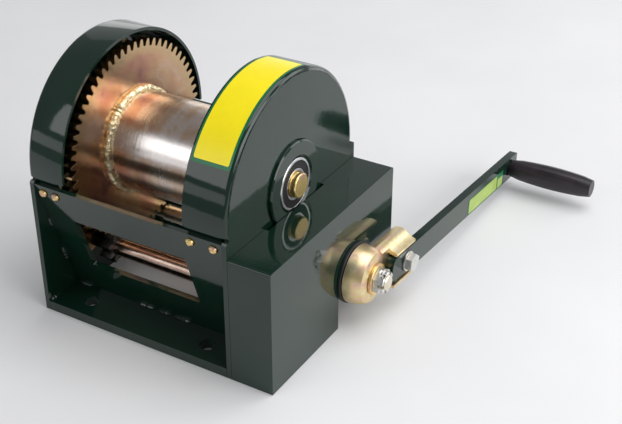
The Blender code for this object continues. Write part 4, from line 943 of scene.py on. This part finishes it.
bm = bmesh.new()
prism(bm, [pawl_outline(), circle(PAWL_Y, PAWL_Z, 3.0 + GAP, 14)], 253.2, 257.2)
finish("pawl", bm, STEEL, pivot=(0.0, PAWL_Y, PAWL_Z))

bm = bmesh.new()
lathe(bm, [(249.0, 0.0), (249.0, 3.0), (CASE_IN - GAP, 3.0), (CASE_IN - GAP, 0.0)], PAWL_Y, PAWL_Z, 14)
finish("pawl_pin", bm, STEEL)


def tube(bm, path, r, n=12):
    """Round wire along a path, closed at both ends."""
    rows = []
    up = Vector((0.0, 0.0, 1.0))
    for i, p in enumerate(path):
        a = path[max(i - 1, 0)]
        b = path[min(i + 1, len(path) - 1)]
        t = (b - a).normalized()
        s = t.cross(up)
        if s.length < 1e-4:
            s = t.cross(Vector((1.0, 0.0, 0.0)))
        s.normalize()
        u = s.cross(t).normalized()
        up = u
        rows.append([bm.verts.new(p + s * (r * math.cos(2 * math.pi * k / n)) + u * (r * math.sin(2 * math.pi * k / n))) for k in range(n)])
    for A, B in zip(rows, rows[1:]):
        for k in range(n):
            bm.faces.new((A[k], A[(k + 1) % n], B[(k + 1) % n], B[k]))
    bm.faces.new(list(reversed(rows[0])))
    bm.faces.new(rows[-1])


# Torsion spring on the pawl pin: coils beside the pawl, one leg on its back.
path = []
R_SP = 4.6
TURNS = 3.0
for k in range(int(TURNS * 8) + 1):
    a = math.radians(200.0) + 2 * math.pi * k / 8
    path.append(Vector((258.4 + 1.5 * k / 8, PAWL_Y + R_SP * math.cos(a), PAWL_Z + R_SP * math.sin(a))))
a_end = math.radians(200.0)
path.append(Vector((path[-1].x + 0.3, PAWL_Y + 14.0 * math.cos(a_end + 0.9), PAWL_Z + 14.0 * math.sin(a_end + 0.9))))
bm = bmesh.new()
tube(bm, path, 0.6)
finish("pawl_spring", bm, STEEL)


# ---------------------------------------------------------------- gear case
def case_outline(off):
    """Case outline with its rear lower corner cut away round the crank."""
    r = CASE_LOBE_R - off
    a = math.atan2(NOTCH_Z - CRANK_Z, NOTCH_Y - CRANK_Y)
    a0 = math.degrees(a)
    a1 = -180.0 - a0
    rc = 2.5 if off == 0 else 1.0
    if off == 0:
        pts = [(0.0, 0.0), (NOTCH_Y, 0.0)]
    else:
        pts = [(off, off), (NOTCH_Y - off, off), (NOTCH_Y - off, NOTCH_Z)]
    pts += arc(CRANK_Y, CRANK_Z, r, a0, a1, 14)
    if off == 0:
        pts += [(FRAME_D, NOTCH_Z)]
    else:
        m = 2 * CRANK_Y - NOTCH_Y
        pts += [(m, NOTCH_Z + off), (FRAME_D - off, NOTCH_Z + off)]
    pts += arc(FRAME_D - off - rc, CASE_H - off - rc, rc, 0, 90, 3) + arc(off + rc, CASE_H - off - rc, rc, 90, 180, 3)
    return pts


def gear_case_mesh():
    x0 = FRAME_W + GAP
    shell = bmesh.new()
    prism(shell, [case_outline(0.0)], x0, CASE_OUT)
    hollow = bmesh.new()
    prism(hollow, [case_outline(CASE_WALL)], x0 - 5.0, CASE_IN)
    notch = bmesh.new()
    box(notch, x0 - 5.0, FRAME_W + 4.1, DRUM_Y - 50.0, DRUM_Y + 50.0, CASE_H - 20.0, CASE_H + 5.0)
    parts = [('DIFFERENCE', hollow), ('DIFFERENCE', notch)]
    for y, z in CASE_SCREWS:
        lug = bmesh.new()
        dy = -1 if y < 100 else 1
        dz = -1 if z < 80 else 1
        y_w = 1.5 if dy < 0 else FRAME_D - 1.5
        z_w = (1.5 if z < 20 else NOTCH_Z + 1.5) if dz < 0 else CASE_H - 1.5
        lug_pts = [(y_w, z_w), (y_w, z - dz * 7), (y - dy * 7, z - dz * 7), (y - dy * 7, z_w)]
        prism(lug, [lug_pts], x0 + 0.5, CASE_IN + 1.5)
        parts.append(('UNION', lug))
    bore = bmesh.new()
    lathe(bore, [(CASE_IN - 3, 0.0), (CASE_IN - 3, BUSH_R + GAP), (CASE_OUT + 3, BUSH_R + GAP), (CASE_OUT + 3, 0.0)], CRANK_Y, CRANK_Z, 20)
    parts.append(('DIFFERENCE', bore))
    for y, z in CASE_SCREWS:
        h = bmesh.new()
        lathe(h, [(x0 - 3, 0.0), (x0 - 3, 3.0 + GAP), (x0 + 14, 3.0 + GAP), (x0 + 14, 0.0)], y, z, 10)
        parts.append(('DIFFERENCE', h))
    return combine(shell, parts)


finish("gear_case", gear_case_mesh(), GREEN)

for i, (y, z) in enumerate(CASE_SCREWS):
    x = FRAME_W - PLATE_T - GAP
    bm = bmesh.new()
    lathe(bm, [(x - 2.0, 0.0), (x - 4.0, 2.6), (x - 4.0, 4.6), (x, 5.5), (x, 3.0), (FRAME_W + 12.6, 3.0), (FRAME_W + 12.6, 0.0)], y, z, 12)
    finish("case_screw_%d" % (i + 1), bm, GOLD)

# ---------------------------------------------------------------- crank hub
HUB = around(CRANK_Y, CRANK_Z, -ARM_DROP)      # local Y runs out along the arm
WEB_X0, WEB_X1 = 289.0, 292.4                  # the hub's web, washer sits on it
ARM_X0 = WEB_X1 + GAP
ARM_X1 = ARM_X0 + ARM_T
CUP_R, CUP_FACE_R = 29.8, 25.0
CH_END = 66.0                                  # channel length from the axis


def hub_mesh():
    """Stamped cup over the shaft with a ribbed channel for the arm."""
    cup = bmesh.new()
    lathe(cup, [(272.3, CUP_R - 3.2), (272.3, CUP_R), (280.0, CUP_R - 0.5), (286.0, CUP_R - 1.9), (290.4, CUP_R - 4.4),
                (292.3, CUP_R - 8.0), (292.3, 10.3 + GAP), (272.0, 10.3 + GAP), (272.0, 14.0), (289.0, 14.0), (289.0, CUP_FACE_R - 3.0),
                (285.0, CUP_R - 5.6), (279.0, CUP_R - 3.7)], 0.0, 0.0, 30, frame=HUB)
    hw = ARM_W / 2 + 0.5
    # channel section (depth, across): lower flange, web, ribbed upper flange
    web = bmesh.new()
    sect = Matrix(((0, 1, 0, 0), (1, 0, 0, 0), (0, 0, 1, 0), (0, 0, 0, 1)))
    prof = [(WEB_X0, -hw - 3.2), (ARM_X1 + 1.9, -hw - 3.2), (ARM_X1 + 1.9, -hw), (WEB_X1, -hw), (WEB_X1, hw + 2.6),
            (ARM_X1 - 0.7, hw + 0.2), (ARM_X1, hw + 0.8), (ARM_X1, hw + 3.4), (295.5, hw + 5.6), (292.5, hw + 7.8), (289.5, hw + 10.4),
            (284.0, hw + 11.6), (278.0, hw + 10.6), (278.0, hw + 7.4), (284.0, hw + 8.4), (287.8, hw + 7.2), (WEB_X0, hw + 4.6)]
    prism(web, [prof], 12.0, CH_END, HUB @ sect)
    bolt = bmesh.new()
    lathe(bolt, [(WEB_X0 - 4, 0.0), (WEB_X0 - 4, 5.0 + GAP), (WEB_X1 + 5, 5.0 + GAP), (WEB_X1 + 5, 0.0)], BOLT_AT, 0.0, 16, frame=HUB)
    upper = bmesh.new()
    box(upper, WEB_X1 + 0.05, WEB_X1 + 30, -30.0, 26.0, 5.0, 45.0, HUB)
    lower = bmesh.new()
    box(lower, WEB_X1 + 0.05, WEB_X1 + 30, -30.0, 20.0, -45.0, 5.0, HUB)
    return combine(cup, [('UNION', web), ('DIFFERENCE', upper), ('DIFFERENCE', lower), ('DIFFERENCE', bolt)])


BOLT_AT = 49.7
finish("crank_hub", hub_mesh(), GOLD, pivot=CR_C)

bm = bmesh.new()
lathe(bm, [(CASE_OUT + GAP, IS_R + GAP), (CASE_OUT + GAP, 31.0), (CASE_OUT + 2.8, 31.0), (CASE_OUT + 3.4, 30.4), (CASE_OUT + 3.4, IS_R + GAP)],
      CRANK_Y, CRANK_Z, 32)
finish("hub_dust_ring", bm, BLACK, pivot=CR_C)

bm = bmesh.new()
wx = WEB_X1 + GAP
lathe(bm, [(wx, THREAD_R + GAP), (wx, 16.0), (wx + 2.5, 16.0), (wx + 3.0, 15.5), (wx + 3.0, THREAD_R + GAP)], CRANK_Y, CRANK_Z, 28)
finish("hub_washer", bm, GOLD, pivot=CR_C)


def hexagon(r_flat, phase=0.0):
    return circle(0.0, 0.0, r_flat / math.cos(math.pi / 6), 6, phase)


PIN_ANGLE = math.radians(120.0)


def castle_nut():
    x0 = wx + 3.0 + GAP
    body = bmesh.new()
    prism(body, [hexagon(12.0, PIN_ANGLE + math.radians(30.0) + ARM_DROP)], x0, x0 + 5.8, HUB)
    crown = bmesh.new()
    lathe(crown, [(x0 + 4.0, 0.0), (x0 + 4.0, 11.0), (x0 + 9.6, 11.0), (x0 + 10.2, 10.4), (x0 + 10.2, 0.0)], 0.0, 0.0, 24, frame=HUB)
    parts = [('UNION', crown)]
    bore = bmesh.new()
    lathe(bore, [(x0 - 2, 0.0), (x0 - 2, THREAD_R + GAP), (x0 + 14, THREAD_R + GAP), (x0 + 14, 0.0)], 0.0, 0.0, 20, frame=HUB)
    parts.append(('DIFFERENCE', bore))
    for k in range(3):
        slot = bmesh.new()
        a = PIN_ANGLE + math.radians(60.0 * k) + ARM_DROP
        box(slot, 302.6 - 2.0, 302.6 + 12.0, -20.0, 20.0, -2.0, 2.0, HUB @ Matrix.Rotation(a, 4, 'X'))
        parts.append(('DIFFERENCE', slot))
    return combine(body, parts)


finish("castle_nut", castle_nut(), ZINC, pivot=CR_C)

# Split pin through the castle nut: an eye on one side, bent legs on the other.
PIN = Matrix.Translation((302.6, CRANK_Y, CRANK_Z)) @ Matrix.Rotation(PIN_ANGLE, 4, 'X')
bm = bmesh.new()
tube(bm, [PIN @ Vector((0.0, -15.6, 1.8)), PIN @ Vector((0.0, -13.6, 0.7)), PIN @ Vector((0.0, -12.0, 0.0)), PIN @ Vector((0.0, 0.0, 0.0)), PIN @ Vector((0.0, 13.2, 0.0))], 1.35, 6)
eye = bmesh.new()
rings = []
for k in range(12):
    a = 2 * math.pi * k / 12
    rings.append([eye.verts.new(PIN @ Vector((0.9 * math.sin(b), 15.8 + (2.9 + 0.9 * math.cos(b)) * math.sin(a), (2.9 + 0.9 * math.cos(b)) * math.cos(a))))
                  for b in [2 * math.pi * j / 5 for j in range(5)]])
for k in range(12):
    A, B = rings[k], rings[(k + 1) % 12]
    for j in range(5):
        eye.faces.new((A[j], A[(j + 1) % 5], B[(j + 1) % 5], B[j]))
finish("split_pin", combine(bm, [('UNION', eye)]), ZINC, pivot=CR_C)


# ---------------------------------------------------------------- crank arm
def arm_mesh():
    hw = ARM_W / 2
    end = ARM_END
    base = [(ARM_START + 9.0 + 9.0 * math.cos(math.radians(t)), hw * math.sin(math.radians(t))) for t in range(100, 261, 16)]
    pts = [(end - 1.2, -hw), (end, -hw + 1.2), (end, hw - 1.2), (end - 1.2, hw)] + base
    b = bmesh.new()
    prism(b, [pts, circle(BOLT_AT, 0.0, 5.0 + GAP, 16), circle(GRIP_AT, 0.0, 5.0 + GAP, 16)], ARM_X0, ARM_X1, HUB)
    return b


finish("crank_arm", arm_mesh(), GREEN, pivot=CR_C)

HEAD_X = ARM_X1 + GAP
bm = bmesh.new()
lathe(bm, [(HEAD_X, 5.0 + GAP), (HEAD_X, 10.5), (HEAD_X + 2.0, 10.5), (HEAD_X + 2.0, 5.0 + GAP)], BOLT_AT, 0.0, 20, frame=HUB)
finish("arm_bolt_washer", bm, ZINC, pivot=CR_C)


def hex_bolt():
    x0 = HEAD_X + 2.0 + GAP
    head = bmesh.new()
    prism(head, [hexagon(8.5, math.radians(24.0))], x0, x0 + 6.4, HUB @ Matrix.Translation((0.0, BOLT_AT, 0.0)))
    shank = bmesh.new()
    lathe(shank, [(x0 + 1.0, 0.0), (x0 + 1.0, 5.0), (WEB_X0 - 11.0, 5.0), (WEB_X0 - 11.0, 0.0)], BOLT_AT, 0.0, 16, frame=HUB)
    return combine(head, [('UNION', shank)])


finish("arm_bolt", hex_bolt(), ZINC, pivot=CR_C)

bm = bmesh.new()
prism(bm, [hexagon(8.5, 0.0), circle(0.0, 0.0, 5.0 + GAP, 16)], WEB_X0 - GAP - 8.0, WEB_X0 - GAP, HUB @ Matrix.Translation((0.0, BOLT_AT, 0.0)))
finish("arm_nut", bm, ZINC, pivot=CR_C)

# ---------------------------------------------------------------- grip
gx = ARM_X1 + 1.0
G_AXIS = HUB @ Vector((0.0, GRIP_AT, 0.0))
bm = bmesh.new()
lathe(bm, [(ARM_X0 - 5.0, 0.0), (ARM_X0 - 5.0, 6.4), (ARM_X0 - 3.0, 7.6), (ARM_X0 - GAP, 7.6), (ARM_X0 - GAP, 5.0), (gx + GRIP_LEN - 8.0, 5.0),
           (gx + GRIP_LEN - 8.0, 7.0), (gx + GRIP_LEN - 6.0, 7.0), (gx + GRIP_LEN - 6.0, 0.0)], GRIP_AT, 0.0, 16, frame=HUB)
finish("grip_spindle", bm, ZINC, pivot=CR_C)


def grip_radius(s):
    """Outer radius along the grip: slim at both ends, fullest in the middle."""
    return 10.8 + 2.6 * math.sin(math.pi * s) + 0.2 * s


def grip_mesh():
    ribs = 10
    n = ribs * 3
    rows = 8
    b = bmesh.new()
    rings = []
    for i in range(rows + 1):
        s = i / rows
        x = gx + GRIP_LEN * s
        row = []
        for k in range(n):
            a = 2 * math.pi * k / n
            groove = 0.5 if (k % 3 == 0 and 0.06 < s < 0.94) else 0.0
            r = grip_radius(s) - groove
            if i == 0 or i == rows:
                r -= 1.2
            row.append(b.verts.new(HUB @ Vector((x, GRIP_AT + r * math.cos(a), r * math.sin(a)))))
        rings.append(row)
    for A, B in zip(rings, rings[1:]):
        for k in range(n):
            b.faces.new((A[k], A[(k + 1) % n], B[(k + 1) % n], B[k]))
    b.faces.new(list(reversed(rings[0])))
    b.faces.new(rings[-1])
    bore = bmesh.new()
    x_out = gx + GRIP_LEN
    lathe(bore, [(gx - 3.0, 0.0), (gx - 3.0, 5.0 + GAP), (x_out - 8.0 - GAP, 5.0 + GAP), (x_out - 8.0 - GAP, 7.0 + GAP), (x_out - 4.0, 7.0 + GAP), (x_out - 4.0, 0.0)],
          GRIP_AT, 0.0, 16, frame=HUB)
    return combine(b, [('DIFFERENCE', bore)])


finish("crank_grip", grip_mesh(), BLACK, pivot=(0.0, G_AXIS.y, G_AXIS.z))

# ---------------------------------------------------------------- details laid on the parts
def loose(name, bm, look, body, angle=40.0, bevel=0.0):
    """A shown piece with no CAD node of its own; it rides on a body."""
    tidy(bm)
    for v in bm.verts:
        v.co = (v.co - ORIGIN) * MM
    me = bpy.data.meshes.new(name)
    bm.to_mesh(me)
    bm.free()
    for poly in me.polygons:
        poly.use_smooth = True
    me.set_sharp_from_angle(angle=math.radians(angle))
    ob = bpy.data.objects.new(name, me)
    bpy.context.scene.collection.objects.link(ob)
    me.materials.append(surface(look))
    if bevel:
        mod = ob.modifiers.new("edge", 'BEVEL')
        mod.width, mod.segments, mod.limit_method = bevel * MM, 2, 'ANGLE'
    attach(ob, body)
    return ob


def bead(bm, path, r, seed, flat=0.75, up=(0, 0, 1), step=1.1):
    """A weld bead: overlapping ripples along a line of points."""
    rnd = random.Random(seed)
    pts = [Vector(p) for p in path]
    lens = [0.0]
    for a, b in zip(pts, pts[1:]):
        lens.append(lens[-1] + (b - a).length)
    total = lens[-1]
    n = max(int(total / step), 6)
    rings = []
    for i in range(n + 1):
        d = total * i / n
        j = min(max(k for k, l in enumerate(lens) if l <= d + 1e-9), len(pts) - 2)
        p = pts[j].lerp(pts[j + 1], (d - lens[j]) / max(lens[j + 1] - lens[j], 1e-9))
        t = (pts[min(j + 1, len(pts) - 1)] - pts[j]).normalized()
        side = t.cross(Vector(up)).normalized()
        nrm = side.cross(t).normalized()
        ends = min(1.0, 0.25 + 0.75 * min(i, n - i) / 2.5)
        wob = ends * (1.0 + 0.10 * math.sin(2.9 * i) + rnd.uniform(-0.10, 0.10))
        ring = []
        for k in range(12):
            a = 2 * math.pi * k / 12
            ring.append(bm.verts.new(p + side * (r * wob * math.cos(a)) + nrm * (r * flat * wob * math.sin(a))))
        rings.append(ring)
    for A, B in zip(rings, rings[1:]):
        for k in range(12):
            bm.faces.new((A[k], A[(k + 1) % 12], B[(k + 1) % 12], B[k]))
    for ring in (rings[0], rings[-1]):
        bm.faces.new(ring)


def ring_bead(bm, x, radius, r, seed, cy, cz):
    """A closed weld bead round the X direction, uneven along its run."""
    n, m = 420, 18
    rings = []
    for i in range(n):
        a = 2 * math.pi * i / n
        out = Vector((0.0, math.cos(a), math.sin(a)))
        slow = noise.noise(Vector((4 * out.y, 4 * out.z, seed)))
        mid = noise.noise(Vector((14 * out.y, 14 * out.z, seed + 5.0)))
        s = r * (1.0 + 0.14 * slow + 0.12 * mid)
        c = Vector((x + 0.5 * slow, cy, cz)) + out * (radius + 0.5 * mid)
        row = []
        for j in range(m):
            b = 2 * math.pi * j / m
            pit = 1.0 + 0.24 * noise.noise(Vector((34 * out.y, 34 * out.z + 4.0 * math.sin(b) + seed, 4.0 * math.cos(b)))) \
                + 0.16 * noise.noise(Vector((70 * out.y, 70 * out.z + 8.0 * math.cos(b), 8.0 * math.sin(b) + seed)))
            row.append(bm.verts.new(c + Vector((s * pit * math.cos(b), 0, 0)) + out * (0.85 * s * pit * math.sin(b))))
        rings.append(row)
    for i in range(n):
        A, B = rings[i], rings[(i + 1) % n]
        for j in range(m):
            bm.faces.new((A[j], A[(j + 1) % m], B[(j + 1) % m], B[j]))


# weld rings where the barrel meets the gear and the flange
bm = bmesh.new()
ring_bead(bm, GEAR_X1 + 2.2, DRUM_R + 1.2, 3.9, 4, DRUM_Y, DRUM_Z)
loose("drum_gear_weld", bm, "weld_gold", "drum")
bm = bmesh.new()
ring_bead(bm, FLANGE_X0 - 2.2, DRUM_R + 1.2, 3.9, 9, DRUM_Y, DRUM_Z)
loose("drum_flange_weld", bm, "weld_gold", "drum")

# paint-covered welds of the frame
def welds(name, runs, body="frame"):
    b = bmesh.new()
    for i, (path, r, up) in enumerate(runs):
        bead(b, path, r, 31 * i + len(name), up=up)
    return loose(name, b, "green_paint", body)


def foot(z):
    """Front of the sloped panel at height z."""
    return PANEL_FOOT_Y * (PANEL_TOP_Z - z) / (PANEL_TOP_Z - BASE_T)


IN_L, IN_R = PLATE_T, FRAME_W - PLATE_T
welds("panel_foot_weld", [([(x, foot(BASE_T) - 0.6, BASE_T + 0.5) for x in (84 + 4 * i for i in range(6))], 2.6, (0, -0.6, 0.8)),
                          ([(x, foot(BASE_T) - 0.6, BASE_T + 0.5) for x in (108 + 4 * i for i in range(5))], 3.0, (0, -0.6, 0.8)),
                          ([(x, foot(BASE_T) - 0.6, BASE_T + 0.5) for x in (128 + 4 * i for i in range(6))], 3.2, (0, -0.6, 0.8)),
                          ([(x, foot(BASE_T) - 0.6, BASE_T + 0.5) for x in (8, 12, 16, 20, 25)], 2.6, (0, -0.6, 0.8))])
welds("panel_side_weld_left", [([(IN_L + 0.4, foot(z) - 0.8, z) for z in (42, 46, 50, 54, 59)], 2.5, (0.7, -0.7, 0)),
                               ([(IN_L + 0.4, foot(z) - 0.8, z) for z in (88, 92, 96, 100)], 2.2, (0.7, -0.7, 0))])
welds("panel_side_weld_right", [([(IN_R - 0.4, foot(z) - 0.8, z) for z in (40, 44, 48, 52)], 2.3, (-0.7, -0.7, 0)),
                                ([(IN_R - 0.4, foot(z) - 0.8, z) for z in (94, 98, 102)], 2.2, (-0.7, -0.7, 0))])
welds("strip_weld_front_left", [([(IN_L + 0.5, y, BASE_T + 0.5) for y in (2, 5, 9, 14, 18)], 2.6, (0.7, 0, 0.7)),
                                ([(IN_L + 0.5, 1.6, z) for z in (11, 14, 17, 20)], 1.9, (0.7, -0.7, 0))])
welds("strip_weld_front_right", [([(IN_R - 0.5, y, BASE_T + 0.5) for y in (2, 5, 9, 14, 18)], 2.6, (-0.7, 0, 0.7))])
welds("strip_weld_rear_left", [([(IN_L + 0.5, FRAME_D - y, BASE_T + 0.5) for y in (44, 40, 34, 28, 22)], 2.4, (0.7, 0, 0.7))])
welds("strip_weld_rear_right", [([(IN_R - 0.5, FRAME_D - y, BASE_T + 0.5) for y in (44, 40, 34, 28, 22)], 2.4, (-0.7, 0, 0.7))])


# printed films
def band_film(name, look, x0, x1, a0, a1, lift, corner=2.5):
    """A thin film wrapped over the crank side cover's rim."""
    b = bmesh.new()
    r0, r1 = COVER_R + lift - 0.10, COVER_R + lift
    n = 90
    rows = []
    for i in range(n + 1):
        a = math.radians(a0 + (a1 - a0) * i / n)
        d = min(i, n - i) * abs(math.radians(a1 - a0)) / n * COVER_R
        inset = corner - math.sqrt(max(corner ** 2 - (corner - min(d, corner)) ** 2, 0.0))
        row = []
        for x, r in ((x0 + inset, r0), (x0 + inset, r1), (x1 - inset, r1), (x1 - inset, r0)):
            row.append(b.verts.new((x, DRUM_Y + r * math.cos(a), DRUM_Z + r * math.sin(a))))
        rows.append(row)
    for A, B in zip(rows, rows[1:]):
        for k in range(4):
            b.faces.new((A[k], A[(k + 1) % 4], B[(k + 1) % 4], B[k]))
    b.faces.new(rows[0])
    b.faces.new(list(reversed(rows[-1])))
    return loose(name, b, look, "frame")


band_film("cover_label_border", "label_green", 178.6, 219.6, 149.6, 74.0, 0.16, corner=1.2)
band_film("cover_label_face", "label_yellow", 180.6, 217.2, 147.8, 76.0, 0.30, corner=1.0)


def arm_film(name, look, s0, s1, t0, t1, lift):
    b = bmesh.new()
    c = 1.2
    pts = [(s0 + c, t0), (s1 - c, t0), (s1, t0 + c), (s1, t1 - c), (s1 - c, t1), (s0 + c, t1), (s0, t1 - c), (s0, t0 + c)]
    prism(b, [pts], ARM_X1 + lift - 0.08, ARM_X1 + lift, HUB)
    return loose(name, b, look, "crank")


arm_film("arm_label_border", "label_green", 199.0, 296.0, -12.6, 6.2, 0.14)
arm_film("arm_label_face", "label_lime", 201.0, 278.0, -11.4, 5.0, 0.26)
arm_film("arm_label_end", "label_lime", 281.0, 294.5, -11.4, 0.0, 0.26)

# ---------------------------------------------------------------- floor, light and camera
floor_me = bpy.data.meshes.new("floor")
floor_bm = bmesh.new()
for co in ((-4.0, -0.62, 0.0), (4.0, -0.62, 0.0), (4.0, 6.0, 0.0), (-4.0, 6.0, 0.0)):
    floor_bm.verts.new(co)
floor_bm.faces.new(floor_bm.verts[:])
floor_bm.to_mesh(floor_me)
floor_bm.free()
floor_ob = bpy.data.objects.new("floor", floor_me)
floor_ob.location = (0.0, 0.0, -0.0004)
bpy.context.scene.collection.objects.link(floor_ob)
k = Build("floor_paper")
fl = k.ramp(k.noise(3.0, 3.0), [(0.3, (0.78, 0.78, 0.79)), (0.7, (0.82, 0.82, 0.825))])
floor_me.materials.append(k.done(fl, k.span(k.noise(40.0, 3.0), 0.7, 0.85), k.bump(k.noise(300.0, 3.0), 0.05, 0.0006)))

world = bpy.data.worlds.new("studio")
world.use_nodes = True
wb = world.node_tree.nodes["Background"]
wb.inputs[0].default_value = (0.95, 0.96, 1.0, 1.0)
wb.inputs[1].default_value = 0.23
bpy.context.scene.world = world


def softbox(name, at, to, w, h, power, tint=(1, 1, 1)):
    li = bpy.data.lights.new(name, 'AREA')
    li.shape = 'RECTANGLE'
    li.size, li.size_y, li.energy, li.color = w, h, power, tint
    ob = bpy.data.objects.new(name, li)
    ob.location = at
    ob.rotation_euler = (Vector(to) - Vector(at)).to_track_quat('-Z', 'Y').to_euler()
    bpy.context.scene.collection.objects.link(ob)
    return ob


softbox("overhead", (0.75, 0.55, 2.2), (0.25, 0.3, 0.0), 2.4, 2.0, 34.0)
softbox("right", (2.6, 0.1, 1.3), (0.3, 0.3, 0.0), 2.6, 1.5, 43.0)
softbox("rear", (-0.9, 3.1, 0.50), (0.0, 0.1, 0.1), 5.0, 1.0, 14.0)
softbox("rear_high", (-0.9, 3.5, 1.55), (0.0, 0.1, 0.1), 5.4, 2.7, 9.5)
softbox("rear_right", (1.7, 2.5, 1.55), (0.1, 0.1, 0.15), 1.5, 1.3, 15.0)
softbox("front", (-1.3, -3.0, 0.27), (-0.3, 0.0, 0.2), 5.0, 0.52, 7.2)
softbox("window", (-0.98, -2.05, 1.20), (-0.05, 0.0, 0.15), 2.15, 1.1, 13.5)

cam_data = bpy.data.cameras.new("camera")
cam_data.lens = 69.03
cam_data.sensor_width = 36.0
cam = bpy.data.objects.new("camera", cam_data)
cam.location = (0.6169, -0.7272, 0.6896)
cam.rotation_euler = Vector((-0.4408, 0.7396, -0.5087)).to_track_quat('-Z', 'Y').to_euler()
bpy.context.scene.collection.objects.link(cam)
bpy.context.scene.camera = cam
bpy.context.scene.view_settings.view_transform = 'Standard'
